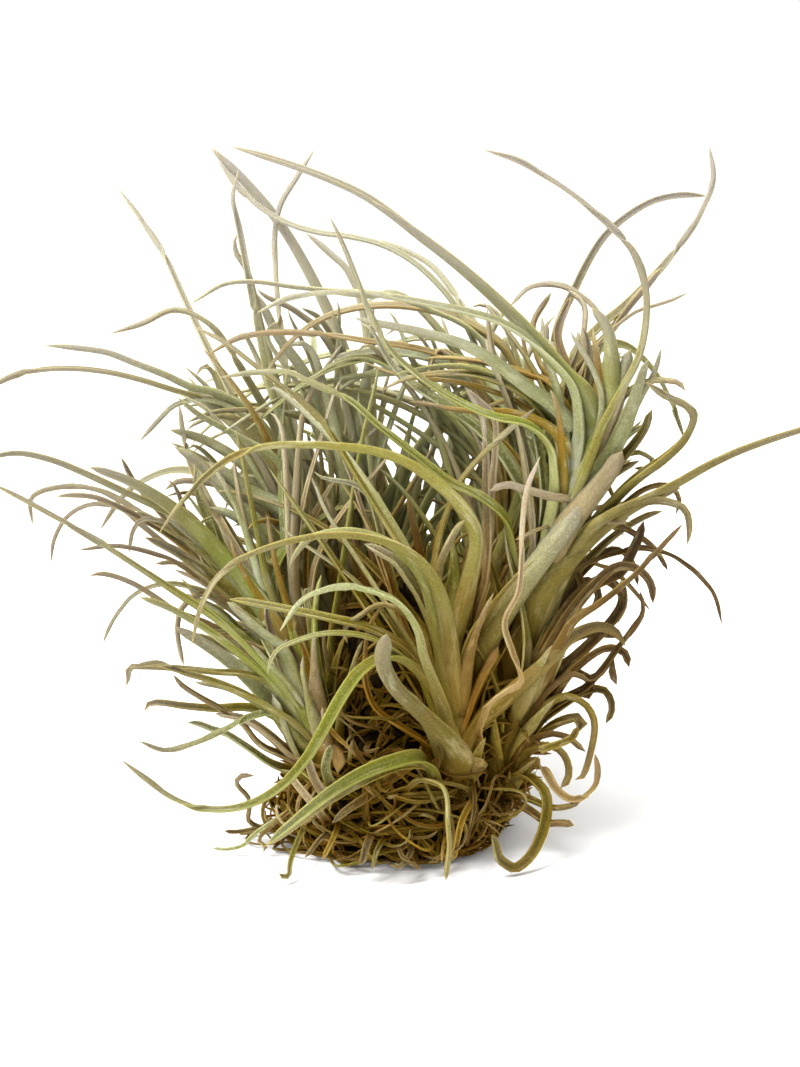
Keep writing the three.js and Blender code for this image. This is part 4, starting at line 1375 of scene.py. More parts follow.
            22.7, -3.6, 24.8, -2.3, 26.5, -0.2, 28.6, 4.9, 28.9, 10.8, 25, 16)),
        Trace(0.12, Tint.BROWN, (1.5, 1.9), (-22, -14), (34.7, 4.9, 31.8, 5.2, 29.4, 5.2,
            24, 9), blunt=True),
        Trace(0.4, Tint.BROWN, (1, 1.6), (-16, -13), (37, 19.7, 35.1, 21.1, 33.7, 22.4, 26, 23)),
        Trace(0.5, Tint.OLIVE, (2, 2.2), (-14, -10), (35.5, 23.6, 36, 25.2, 34.4, 26.4, 31.5, 26,
            26, 22)),
        Trace(0.85, Tint.BROWN, (1.1, 2.2), (-4, -8), (41.1, 44.3, 43.4, 46.7, 44.6, 50.1,
            42.9, 53, 40, 54.2, 35, 50, 30, 42)),
        Trace(0.75, Tint.BROWN, (1, 1.9), (0, -6), (36, 47.5, 38.5, 48.5, 39.5, 51.5, 37, 54,
            33.5, 51, 29, 42)),
        Trace(0.9, Tint.OCHRE, (1, 1.9), (-2, -8), (32, 56, 35, 55.5, 36.5, 52, 34, 46, 30, 41)),
        Trace(0.55, Tint.BROWN, (0.9, 1.8), (-8, -8), (33.4, 30.8, 35.6, 31.5, 37.7, 31,
            38.2, 33.3, 35.9, 35.1, 33, 35.1, 28, 30)),
        Trace(0.9, Tint.BROWN, (1.1, 2), (-12, -9), (50.6, 49.4, 50.2, 53.2, 47.6, 56.2,
            43.6, 56.8, 38.4, 52.6, 32, 44)),
        Trace(0.65, Tint.OLIVE, (1, 1.9), (-8, -8), (41.2, 25.4, 42.2, 28.8, 40.6, 31.8,
            36.6, 31.4, 30, 27)),
    ),
}

# Curled roots and dead tips at the edge of the nest: tint, widths at tip and root, depth, places.
NEST_TRACES = (
    (Tint.BROWN, (0.8, 0.8), -10, (-35.1, 3.8, -33.1, 3.6, -30.4, 4, -22, 6)),
    (Tint.SILVER, (0.6, 0.8), -16, (-37.5, -0.7, -35, -1, -32.5, -0.2, -30.9, 1.2, -29.6, 2.8,
        -22, 8)),
    (Tint.BROWN, (0.6, 0.8), -18, (-27.3, -0.7, -26.9, 0.6, -28.2, 2, -22, 8)),
    (Tint.OLIVE, (1, 1.1), -30, (-24.2, -5, -23.7, -6.1, -22.3, -6.4, -22.2, -4.5, -21.8, -1.8,
        -19, 5)),
    (Tint.OLIVE, (1.5, 0.9), -34, (9.2, -6.8, 9.5, -3.7, 10, 0.3, 9.6, 5.7, 9.5, 9.8, 8.7, 12.5,
        7.1, 13.5, 3.8, 14.1, 2, 12.7, 0.3, 10.3, -3.4, 5.2)),
    (Tint.OCHRE, (1.2, 1.2), -31, (10.5, -2, 12, 5, 15, 11)),
    (Tint.BROWN, (0.8, 1.1), -30, (-19, -1.5, -17, 1, -13, 5)),
    (Tint.OCHRE, (0.8, 1.1), -30, (-15.5, -1.8, -14, 1, -12, 6)),
    (Tint.BROWN, (1.4, 1.6), -30, (-8, -2.9, -7, 0, -5, 5)),
    (Tint.OLIVE, (0.8, 1.1), -31, (-5.6, -4, -5, -1, -2, 4)),
    (Tint.BROWN, (1, 1.1), -31, (-2, -2.9, 0, -3.4, 2, -1, 2, 3)),
    (Tint.BROWN, (1.3, 0.8), -31, (4.1, -4, 2.8, -3, 0.9, -1.8, -1, 3)),
    (Tint.OLIVE, (1.4, 1.4), -18, (35.6, 24.6, 34.4, 22.5, 28, 20)),
    (Tint.PALE, (1.6, 1.8), -28, (-19, 19.5, -17, 14, -13, 9)),
    (Tint.PALE, (1.4, 1.6), -28, (-22, 15, -18, 10, -14, 5)),
    (Tint.SILVER, (1.6, 2), -26, (-14, 21, -15, 17, -13, 12)),
)


@dataclass(frozen=True)
class Outline:
    """A closed outline on the sheet that the plant's thick part fills."""

    corners: Places

    def holds(self, points: np.ndarray) -> np.ndarray:
        """Whether points are seen inside the outline.

        Args:
            points: a row of points.

        Returns:
            True or False for each point.
        """
        places = seen_at(points)
        inside = np.zeros(len(places), bool)
        corners = np.array(self.corners, float).reshape(-1, 2)
        for (u1, w1), (u2, w2) in zip(corners, np.roll(corners, -1, axis=0)):
            crosses = (w1 > places[:, 1]) != (w2 > places[:, 1])
            along = u1 + (places[:, 1] - w1) * (u2 - u1) / ((w2 - w1) or 1e-9)
            inside ^= crosses & (places[:, 0] < along)
        return inside


THICK_PART = Outline((-46, 90, -41, 104, -30, 111, -14, 113, 6, 111, 24, 109, 38, 107, 47, 98,
    50, 86, 49, 76, 46, 64, 41, 55, 34, 42, 32, 30, 28.5, 20, 26, 10, 18, 0, 8, -3, -14, -2,
    -27, 2, -28, 9, -24, 16, -22, 24, -26, 32, -34, 38, -41, 45, -45, 54, -48, 66, -48, 78))


@dataclass
class Growth:
    """How a freely grown midrib runs: its start, its bend and the curl of its tip.

    lean, curl and wander are changes of its way for each millimetre: a steady one, one that
    grows towards the tip, and one that swings to and fro.
    """

    start: np.ndarray
    way: np.ndarray
    length: float
    lean: np.ndarray
    curl: float
    wander: float
    draw: np.random.Generator
    spacing: float = 1.5

    def path(self) -> np.ndarray:
        """Grow the midrib step by step from its start.

        Returns:
            A row of points.
        """
        count = max(int(self.length / self.spacing), 5)
        curl_axis = unit(self.draw.normal(size=3))
        phase = self.draw.uniform(0, 2 * math.pi)
        waves = self.draw.uniform(1.0, 2.4)
        side = unit(np.cross(self.way, self.draw.normal(size=3)))
        point, way = self.start.copy(), self.way.copy()
        points = [point]
        for step in range(count):
            share = step / count
            way = way + self.lean * self.spacing * (0.35 + 1.3 * share)
            sway = math.sin(waves * share * FULL_TURN + phase)
            way = unit(way + side * self.wander * sway * self.spacing)
            turn = self.curl * self.spacing * float(smoothstep(share, 0.45, 1.0))
            way = turned(way, curl_axis, turn)
            point = point + way * self.spacing
            points.append(point)
        return np.array(points)


def kept_above_floor(points: np.ndarray, gap: float) -> np.ndarray:
    """Lift the points of a row that would lie under the floor.

    Args:
        points: the row.
        gap: least height above the floor.

    Returns:
        The lifted row, which nears the floor evenly.
    """
    lifted = points.copy()
    low = gap + 3.0
    sunk = lifted[:, 2] < low
    lifted[sunk, 2] = gap + (low - gap) * np.exp((lifted[sunk, 2] - low) / (low - gap))
    return lifted


@dataclass(frozen=True)
class Habit:
    """How one shoot's small leaves and dead leaves grow.

    It has how many there are of each, the live ones' lengths and lean, how near the viewer a
    leaf may come, and the shares of the stem between which its front stays bare.
    """

    leaves: int
    lengths: Tuple[float, float]
    lean: Tuple[float, float, float]
    dead: int
    nearest: float
    bare: Tuple[float, float] = (0.0, 0.0)


@dataclass(frozen=True)
class Band:
    """Long leaves that sweep from one shoot to one part of the sheet.

    seats are shares of the stem's length, tips the places' bounds, and arch how high a leaf
    bends, as a share of its reach.
    """

    stem: str
    count: int
    seats: Tuple[float, float]
    tips: Tuple[float, float, float, float]
    depths: Tuple[float, float]
    arch: Tuple[float, float]
    widths: Tuple[float, float] = (1.3, 4.0)


# The tips' bounds are from and to across, then from and to up.
BANDS = (
    Band("right_high", 10, (0.6, 1.0), (-16, 18, 86, 110), (-14, 8), (0.0, 0.4)),
    Band("right_high", 8, (0.6, 1.0), (24, 48, 92, 106), (-8, 14), (0.0, 0.3)),
    Band("back_right", 17, (0.4, 1.0), (-36, 8, 84, 110), (-2, 26), (0.1, 0.5)),
    Band("back_right", 10, (0.6, 1.0), (14, 46, 92, 109), (6, 34), (0.0, 0.5)),
    Band("back_centre", 16, (0.3, 1.0), (-44, -14, 76, 108), (2, 28), (0.0, 0.4)),
    Band("back_centre", 10, (0.4, 1.0), (-6, 30, 78, 108), (12, 36), (0.1, 0.6)),
    Band("back_left", 14, (0.4, 1.0), (-48, -30, 62, 100), (-6, 18), (0.0, 0.5)),
    Band("back_left", 9, (0.3, 1.0), (-22, 10, 72, 104), (4, 24), (0.0, 0.5)),
    Band("left_mid", 13, (0.3, 1.0), (-50, -34, 46, 80), (-12, 8), (0.0, 0.5)),
    Band("left_mid", 8, (0.3, 1.0), (-26, -2, 66, 98), (-4, 14), (0.0, 0.4)),
    Band("left_low", 8, (0.3, 1.0), (-38, -20, 34, 56), (-20, -4), (0.1, 0.5)),
    Band("front", 8, (0.3, 1.0), (-36, -8, 60, 92), (-12, 6), (0.0, 0.4)),
    Band("rear", 20, (0.4, 1.0), (-42, 0, 70, 104), (22, 44), (0.1, 0.6)),
    Band("rear", 16, (0.4, 1.0), (8, 46, 70, 104), (24, 44), (0.1, 0.6)),
    Band("right_high", 10, (0.6, 1.0), (30, 49, 84, 104), (-10, 8), (0.0, 0.3), (1.6, 4.4)),
    Band("back_right", 9, (0.5, 1.0), (28, 48, 82, 106), (0, 18), (0.0, 0.4), (1.4, 4.0)),
    Band("right_low", 6, (0.4, 1.0), (24, 38, 42, 58), (0, 10), (0.2, 0.6)),
    Band("back_right", 14, (0.3, 0.9), (28, 48, 56, 90), (10, 30), (0.1, 0.6)),
)

HABITS = {
    "front": Habit(14, (9, 24), (-0.2, 0.1, 0.3), 10, -26),
    "right_high": Habit(24, (16, 44), (-0.4, 0.1, 0.2), 12, -20, (0.08, 0.66)),
    "left_low": Habit(20, (14, 34), (-0.7, 0.0, 0.1), 14, -26),
    "left_mid": Habit(28, (16, 42), (-0.7, 0.1, 0.1), 20, -16),
    "back_left": Habit(32, (18, 48), (-0.5, 0.2, 0.2), 24, -8),
    "back_centre": Habit(30, (18, 46), (-0.3, 0.3, 0.2), 30, 0),
    "back_right": Habit(32, (18, 48), (0.1, 0.3, 0.2), 28, -6),
    "right_low": Habit(16, (12, 28), (0.6, -0.1, 0.1), 20, -20),
    "rear": Habit(40, (22, 54), (0.0, 0.6, 0.0), 30, 8),
}


@dataclass(frozen=True)
class Manner:
    """The ranges that one kind of freely grown leaf is drawn from."""

    lengths: Tuple[float, float]
    widths: Tuple[float, float]
    tones: Tuple[float, float]
    curl: float
    wander: Tuple[float, float]
    spreads: Tuple[float, float] = (0.0, 0.0)
    tip_width: float = 0.5


LIVE = Manner((0, 0), (1.4, 2.9), (0.25, 1), 0.05, (0.0, 0.012), (0.35, 0.75), 0.6)
DEAD = Manner((9, 32), (0.7, 1.7), (0, 0.8), 0.26, (0.02, 0.09), (0.7, 1.8), 0.45)
SCRAP = Manner((6, 20), (0.4, 1.4), (0, 0.8), 0.34, (0.04, 0.14))
STRAND = Manner((10, 42), (0.4, 0.95), (0, 0.5), 0.17, (0.02, 0.12))
# Shares of the stem's length: where live leaves start, and between which dead ones sit.
LIVE_FOOT = 0.1
DEAD_SEATS = (0.02, 0.75)
# Looseness of the leaves' places round the stem, in radians.
LIVE_SCATTER = 0.25
DEAD_SCATTER = 0.5
# How a leaf that points at the viewer leans aside, opens less and stays small.
FACING_LEAN = 0.03
FACING_SPREAD = 0.8
FACING_LENGTH = 0.15
FACING_WIDTH = 0.3
LIVE_TINTS = (Tint.GREEN, Tint.SILVER, Tint.OLIVE, Tint.OCHRE, Tint.PALE)
LIVE_SHARES = (0.25, 0.23, 0.22, 0.17, 0.13)
FAR_SHARES = (0.28, 0.28, 0.14, 0.06, 0.24)
DEAD_TINTS = (Tint.OLIVE, Tint.OCHRE, Tint.PALE, Tint.BROWN)
DEAD_SHARES = (0.24, 0.28, 0.12, 0.36)
# Depth from which a band's leaves take the finishes of the far side.
FAR_DEPTH = 20
# Shortest reach of a swept leaf, in millimetres, and fewest points of a leaf's midrib.
LEAST_REACH = 12
LEAST_POINTS = 6
# Length at a leaf's root that may lie outside the thick part, and least height of its midrib.
FREE_ROOT = 7
LEAF_HEIGHT = 0.8


@dataclass
class Bud:
    """Where a leaf leaves its stem: distance from the foot, stem's way and outward way."""

    run: float
    centre: np.ndarray
    way: np.ndarray
    radius: float
    outward: np.ndarray

    def skin(self, gap: float) -> np.ndarray:
        """A point at a gap from the stem's skin."""
        return self.centre + self.outward * (self.radius + gap)

    def tilted(self, spread: float) -> np.ndarray:
        """A way that leans outward from the stem by an angle."""
        return unit(self.way * math.cos(spread) + self.outward * math.sin(spread))


@dataclass
class Rosette:
    """The smaller leaves that sheathe one shoot from its foot to its heart."""

    stem: Stem
    habit: Habit
    draw: np.random.Generator
    piles: Dict[Tint, List[Shape]] = field(default_factory=dict)

    def add(self, tint: Tint, leaf: Leaf) -> None:
        """Keep a leaf with the others of its tint."""
        self.piles.setdefault(tint, []).append(leaf.strip().shape())

    def grow(self) -> None:
        """Grow the live leaves spirally up the stem, and dead ones round its lower part."""
        for index in range(self.habit.leaves):
            step = (index + self.draw.uniform(0, 1)) / self.habit.leaves
            share = LIVE_FOOT + (1 - LIVE_FOOT) * step
            tint = self.draw.choice(LIVE_TINTS, p=LIVE_SHARES)
            azimuth = index * GOLDEN_ANGLE + self.draw.normal(0, LIVE_SCATTER)
            self._live_leaf(share, self._bud(share, azimuth), tint)
        for index in range(self.habit.dead):
            share = self.draw.uniform(*DEAD_SEATS)
            tint = self.draw.choice(DEAD_TINTS, p=DEAD_SHARES)
            azimuth = index * GOLDEN_ANGLE + self.draw.normal(0, DEAD_SCATTER)
            self._dead_leaf(share, self._bud(share, azimuth), tint)

    def sweep(self, band: Band) -> None:
        """Grow a band of long leaves.

        Args:
            band: where the leaves start and where their tips lie.
        """
        draw = self.draw
        tints = FAR_SHARES if band.depths[1] > FAR_DEPTH else LIVE_SHARES
        for _ in range(band.count):
            run = draw.uniform(*band.seats) * self.stem.length
            place = draw.uniform(*band.tips[:2]), draw.uniform(*band.tips[2:])
            tip = sight_point(*place, draw.uniform(*band.depths))
            centre, way, radius = self.stem.at(run)
            side = tip - centre
            around = self.stem.around(run, draw.uniform(0, FULL_TURN))
            outward = unit(unit(side - way * (side @ way)) + 0.5 * around)
            outward = unit(outward - way * (outward @ way))
            bud = Bud(run, centre, way, radius, outward)
            root = bud.skin(SEAT_GAP)
            reach = float(np.linalg.norm(tip - root))
            if reach < LEAST_REACH:
                continue
            points = self._arch(bud, root, tip, reach, draw.uniform(*band.arch))
            tint = draw.choice(LIVE_TINTS, p=tints)
            width = draw.uniform(*band.widths)
            self._keep(points, (width, 0.5), bud, tint, float(draw.uniform(0.3, 1)))

    def _arch(
        self, bud: Bud, root: np.ndarray, tip: np.ndarray, reach: float, arch: float
    ) -> np.ndarray:
        """A long midrib that rises from its bud and bends over to its tip.

        Args:
            bud: where it leaves the stem.
            root: its first point.
            tip: its last point.
            reach: the distance between them.
            arch: how high it bends, as a share of the reach.

        Returns:
            A row of points.
        """
        draw = self.draw
        loose = draw.normal(0, 0.22, 3)
        toward = (tip - root) / reach * draw.uniform(0, 1.5)
        first = root + unit(bud.way + 0.5 * bud.outward + toward + loose) * reach * 0.4
        last = tip + UP * reach * arch + (root - tip) * 0.3 + draw.normal(0, 0.05, 3) * reach
        share = np.linspace(0, 1, max(int(reach / 1.6), 8))[:, None]
        left = 1 - share
        points = left**3 * root + 3 * left**2 * share * first
        points = points + 3 * left * share**2 * last + share**3 * tip
        sway = np.sin(share * draw.uniform(4, 9) + draw.uniform(0, FULL_TURN)) * share
        points = points + sway * draw.normal(0, 0.02, 3) * reach
        return points + smoothstep(share, 0.6, 1.0) ** 2 * draw.normal(0, 0.07, 3) * reach

    def _bud(self, share: float, azimuth: float) -> Bud:
        """The place of a leaf at a share of the stem's length and an angle round it."""
        run = share * self.stem.length
        return Bud(run, *self.stem.at(run), self.stem.around(run, azimuth))

    def _is_bare(self, share: float) -> bool:
        """Whether the stem's front stays bare at a share of its length."""
        return self.habit.bare[0] < share < self.habit.bare[1]

    def _live_leaf(self, share: float, bud: Bud, tint: Tint) -> None:
        """Grow one live leaf, which leans aside where it would point at the viewer.

        Args:
            share: how far up the stem it starts, from 0 to 1.
            bud: its place there.
            tint: its finish.
        """
        draw = self.draw
        low, high = self.habit.lengths
        length = low + (high - low) * draw.beta(2, 2)
        facing = max(float(bud.outward @ -VIEW_FORWARD), 0)
        if facing > 0.1 and self._is_bare(share):
            return
        spread = draw.uniform(*LIVE.spreads) + 0.35 * (1 - share)
        spread = spread * (1 - FACING_SPREAD * facing)
        aside = np.cross(bud.way, bud.outward) * draw.choice((-1, 1))
        lean = 0.012 * np.array(self.habit.lean) + 0.012 * bud.outward
        lean = lean + FACING_LEAN * facing * aside - 0.01 * UP * draw.uniform(-0.4, 1.6)
        length *= 1 - FACING_LENGTH * facing
        curl, wander = draw.normal(0, LIVE.curl), draw.uniform(*LIVE.wander)
        way = bud.tilted(spread)
        growth = Growth(bud.skin(SEAT_GAP), way, length, lean, curl, wander, draw)
        width = draw.uniform(*LIVE.widths) * (1 - FACING_WIDTH * facing)
        tone = float(draw.uniform(*LIVE.tones))
        self._keep(growth.path(), (width, LIVE.tip_width), bud, tint, tone)

    def _dead_leaf(self, share: float, bud: Bud, tint: Tint) -> None:
        """Grow one dried and curled leaf.

        Args:
            share: how far up the stem it starts, from 0 to 1.
            bud: its place there.
            tint: its finish.
        """
        draw = self.draw
        if bud.outward @ VIEW_FORWARD < 0 and self._is_bare(share):
            return
        way, length = bud.tilted(draw.uniform(*DEAD.spreads)), draw.uniform(*DEAD.lengths)
        lean = 0.02 * bud.outward * draw.uniform(-0.5, 1)
        lean = lean - 0.03 * UP * draw.uniform(-0.5, 1.5)
        curl, wander = draw.normal(0, DEAD.curl), draw.uniform(*DEAD.wander)
        growth = Growth(bud.skin(SEAT_GAP / 2), way, length, lean, curl, wander, draw, 1.0)
        width = draw.uniform(*DEAD.widths)
        tone = float(draw.uniform(*DEAD.tones))
        self._keep(growth.path(), (width, DEAD.tip_width), bud, tint, tone, sheathed=False)

    def _keep(
        self,
        path: np.ndarray,
        widths: Tuple[float, float],
        bud: Bud,
        tint: Tint,
        tone: float,
        sheathed: bool = True,
    ) -> None:
        """Cut a midrib off where it would stick out of the thick part, and keep it as a leaf.

        Args:
            path: the midrib's points.
            widths: the leaf's widths at its root and tip.
            bud: where it leaves the stem.
            tint: its finish.
            tone: how light it is.
            sheathed: whether it clasps the stem with a sheath.
        """
        points = kept_above_floor(path, LEAF_HEIGHT)
        inside = THICK_PART.holds(points) & (points[:, Y] > self.habit.nearest)
        inside |= run_of(points) < FREE_ROOT
        outside = np.flatnonzero(~inside)
        if len(outside):
            points = points[: outside[0]]
        if len(points) < LEAST_POINTS:
            return
        root_width, tip_width = widths
        share = np.linspace(0, 1, len(points))
        spans = root_width + (tip_width - root_width) * share**1.4
        uppers = carried_uppers(points, bud.way - bud.outward)
        leaf = Leaf(points, spans, uppers, tone, spacing=2.0)
        if sheathed:
            leaf.stem, leaf.seat = self.stem, bud.run
            leaf.sheath_length = min(self.draw.uniform(6, 9), bud.run + 2)
            leaf.sheath_half = min(1.3 + 0.6 * root_width, 3.1)
        self.add(tint, leaf)

    def build(self, palette: Palette) -> None:
        """Make the stem and one piece for each tint of its leaves.

        Args:
            palette: the plant's materials.
        """
        node = self.stem.name + SHOOT_SUFFIX
        self.stem.shape().build(f"{self.stem.name}_stem", slot_of(node), palette, [node])
        for tint, shapes in sorted(self.piles.items(), key=lambda row: row[0].value):
            Shape.joined(shapes).build(f"{self.stem.name}_{tint.value}_leaves", tint, palette)


def slot_of(node: str) -> Tint:
    """The finish that the record gives a solid.

    Args:
        node: the solid's name.

    Returns:
        The finish's name.
    """
    for row in frame["record"]["subparts"]:
        if row["node"] == node:
            return Tint(row["material_slot"])
    return Tint.OLIVE


@dataclass
class Crown:
    """The big leaves, one piece for each leaf solid, and the rosettes between them."""

    palette: Palette
    stems: Dict[str, Stem]
    seed: int = 11

    def build(self) -> None:
        """Make every leaf above the nest."""
        draw = np.random.default_rng(self.seed)
        for node in sorted(frame["nodes"]):
            if not node.endswith(SHOOT_SUFFIX) and node != NEST_NODE:
                self._big_leaf(node, float(draw.uniform(0.35, 1)))
        for number, (name, stem) in enumerate(self.stems.items()):
            rosette = Rosette(stem, HABITS[name], np.random.default_rng([self.seed, number]))
            rosette.grow()
            for band in BANDS:
                if band.stem == name:
                    rosette.sweep(band)
            for trace in TRACES.get(name, ()):
                rosette.add(trace.tint, trace.leaf(stem, float(draw.uniform(0.2, 1))))
            rosette.build(self.palette)

    def _big_leaf(self, node: str, tone: float) -> None:
        """Make the leaf that stands for a leaf solid.

        Args:
            node: the solid's name.
            tone: how light the leaf is.
        """
        row = leaf_row(node)
        stem = min(self.stems.values(), key=lambda s: s.nearest(row[0, :3])[0])
        _, seat = stem.nearest(row[0, :3])
        widest = float(row[:, 3].max())
        leaf = Leaf(
            row[:, :3],
            row[:, 3],
            row[:, 4:],
            tone,
            stem,
            seat,
            sheath_length=min(6.0 + 1.2 * widest, seat + 2.0),
            sheath_half=min(1.1 + 0.45 * widest, 3.3),
            spacing=1.2,
            sides=5,
        )
        leaf.strip().shape().build(f"{node}_blade", slot_of(node), self.palette, [node])


def way_out(theta: float, phi: float) -> np.ndarray:
    """The unit vector at an angle round the vertical and one up from the level."""
    level = math.cos(phi)
    return np.array([math.cos(theta) * level, math.sin(theta) * level, math.sin(phi)])


def cut_off(row: np.ndarray, outside: np.ndarray) -> np.ndarray:
    """A row up to its first point outside, with at least five points left."""
    ends = np.flatnonzero(outside)
    return row[: max(ends[0], 5)] if len(ends) else row


# Tints of the nest's curled strands and of its broken pieces, with their shares.
STRAND_TINTS = (Tint.OLIVE, Tint.OCHRE, Tint.BROWN, Tint.PALE)
STRAND_SHARES = (0.38, 0.06, 0.48, 0.08)
SCRAP_TINTS = (Tint.OLIVE, Tint.OCHRE, Tint.BROWN, Tint.GREEN)
SCRAP_SHARES = (0.38, 0.14, 0.36, 0.12)
# Shares of the strands that start low on the core, and that are thin.
LOW_STRANDS = 0.75
THIN_STRANDS = 0.85
THICK_WIDTHS = (1.0, 1.7)
# Layers that strands keep to, as shares of the core's radii, and how many take each.
STRAND_LAYERS = ((1.0, 1.08), (1.08, 1.24))
LAYER_SHARES = (0.6, 0.4)
STRAND_SPACING = 1.1
# Lumps of the core: height, waves round it, waves up it.
LUMPS = ((0.05, 3, 4), (0.04, 7, -5), (0.025, 13, 11), (0.02, 23, -17))


@dataclass
class Nest:
    """The mound of dead leaves and wiry roots that the shoots rise from."""

    palette: Palette
    seed: int = 5
    strands: int = 360
    scraps: int = 260
    centre: np.ndarray = field(default_factory=lambda: np.array(NEST_MIDDLE))
    radii: np.ndarray = field(default_factory=lambda: np.array(NEST_RADII))
    tower_top: float = 50.0
    tower_radius: float = 12.0
    shrink: float = 0.9
    levels: int = 56
    sides: int = 96
    lowest: float = -0.34
    floor_gap: float = 0.7

    def build(self) -> None:
        """Make the fibrous core, the tangle over it and the litter between the shoots."""
        self._core()
        draw = np.random.default_rng(self.seed)
        tangle: Dict[Tint, List[Shape]] = {}
        for _ in range(self.strands):
            tint = draw.choice(STRAND_TINTS, p=STRAND_SHARES)
            tangle.setdefault(tint, []).append(self._curl(draw).strip().shape())
        for tint, *row in NEST_TRACES:
            tangle.setdefault(tint, []).append(self._drawn(draw, *row).strip().shape())
        self._pieces("tangle", tangle)
        litter: Dict[Tint, List[Shape]] = {}
        for _ in range(self.scraps):
            tint = draw.choice(SCRAP_TINTS, p=SCRAP_SHARES)
            litter.setdefault(tint, []).append(self._scrap(draw).strip().shape())
        self._pieces("litter", litter)

    def _pieces(self, kind: str, piles: Dict[Tint, List[Shape]]) -> None:
        """Make one piece for each tint of a pile."""
        for tint, shapes in sorted(piles.items(), key=lambda row: row[0].value):
            Shape.joined(shapes).build(f"nest_{tint.value}_{kind}", tint, self.palette)

    def _shell(self, theta: np.ndarray, phi: np.ndarray) -> np.ndarray:
        """Points of the core's skin.

        Args:
            theta: angles round the core.
            phi: angles up from its middle.

        Returns:
            A point for each pair of angles.
        """
        lumps = 1 + sum(high * np.sin(a * theta + b * phi) for high, a, b in LUMPS)
        ring = np.cos(phi) * lumps
        point = [ring * np.cos(theta), ring * np.sin(theta), np.sin(phi) * lumps]
        point = self.centre + np.stack(point, axis=-1) * self.radii * self.shrink
        rise = smoothstep(phi, 0.9, math.pi / 2)
        point[..., Z] += rise * (self.tower_top - self.centre[Z] - self.radii[Z])
        narrow = self.tower_radius / (self.radii[X] * np.maximum(np.cos(phi), 0.12))
        spread = 1 + rise * (narrow - 1) * smoothstep(1.55 - phi, 0, 0.3)
        middle = self.centre[:2]
        point[..., :2] = middle + (point[..., :2] - middle) * spread[..., None]
        return point

    def _core(self) -> None:
        """The dark mass, with a flat underside and a rise between the shoots."""
        # The core's near-black finish is painted shade of the nest's inside.
        theta = np.linspace(0, 2 * math.pi, self.sides, endpoint=False)
        rings = []
        for phi in np.linspace(self.lowest, math.pi / 2 - 0.02, self.levels):
            ring = self._shell(theta, np.full(self.sides, phi))
            ring[:, Z] = np.maximum(ring[:, Z], 0.0)
            rings.append(ring)
        rings[0][:, Z] = 0.0
        tip = np.array([*self.centre[:2], self.tower_top + 0.5])
        shape = Sweep(np.array(rings), tip).shape({})
        shape.build("nest_core", Tint.NEST, self.palette, [NEST_NODE])

    @staticmethod
    def _drawn(
        draw: np.random.Generator, widths: Tuple[float, float], depth: float, places: Places
    ) -> Leaf:
        """One strand drawn on the sheet, rooted in the nest.

        Args:
            draw: the source of its tone and its sway.
            widths: widths at its tip and root.
            depth: how far behind the origin its tip lies.
            places: its midrib from tip to root.

        Returns:
            The strand, as a leaf with no stem.
        """
        drawn, share = drawn_row(places)
        rooted = max(depth, -17.0)
        depths = rooted + (depth - rooted) * smoothstep(share, 0.0, 0.6)
        depths = depths + 1.3 * np.sin(share * 7.0 + draw.uniform(0, FULL_TURN)) * share
        row = kept_above_floor(at_depths(drawn, depths), 0.6)
        spans = np.linspace(widths[1], widths[0], len(row))
        uppers = carried_uppers(row, -VIEW_FORWARD)
        tone = float(draw.uniform(0.2, 0.9))
        return Leaf(row, spans, uppers, tone, tip_reach=0.03, greyed=0.7, spacing=1.0)

    def _scrap(self, draw: np.random.Generator) -> Leaf:
        """One short broken piece of leaf on the core.

        Args:
            draw: the source of its shape.

        Returns:
            The scrap, as a leaf with no stem.
        """
        theta = draw.uniform(0, 2 * math.pi)
        phi = math.asin(draw.uniform(-0.3, 1.0))
        point = self._shell(np.array(theta), np.array(phi))
        normal = unit(way_out(theta, phi))
        if phi > 1.0:
            normal = unit(np.array([math.cos(theta), math.sin(theta), 0.3]))
        level = 1.0 - float(smoothstep(phi, 0.1, 0.8))
        flat = np.cross(normal, draw.normal(size=3) + level * draw.choice((-1, 1)) * UP)
        way = unit(flat) * 0.8 + normal * draw.uniform(0.0, 0.6) + 0.5 * (1.0 - level) * UP
        length = draw.uniform(*SCRAP.lengths)
        curl, wander = draw.normal(0, SCRAP.curl), draw.uniform(*SCRAP.wander)
        start, lean = point - normal * 0.5, -0.03 * normal
        growth = Growth(start, unit(way), length, lean, curl, wander, draw, 0.9)
        row = kept_above_floor(growth.path(), self.floor_gap)
        row = cut_off(row, ~THICK_PART.holds(row))
        width = draw.uniform(SCRAP.widths[0], SCRAP.widths[1] - 0.5 * level)
        spans = width * np.linspace(1, draw.uniform(0.3, 0.7), len(row))
        uppers = carried_uppers(row, unit(normal + draw.normal(0, 0.5, 3)))
        tone = float(draw.uniform(*SCRAP.tones))
        return Leaf(row, spans, uppers, tone, tip_reach=0.1, greyed=0.6, spacing=1.2, sides=2)

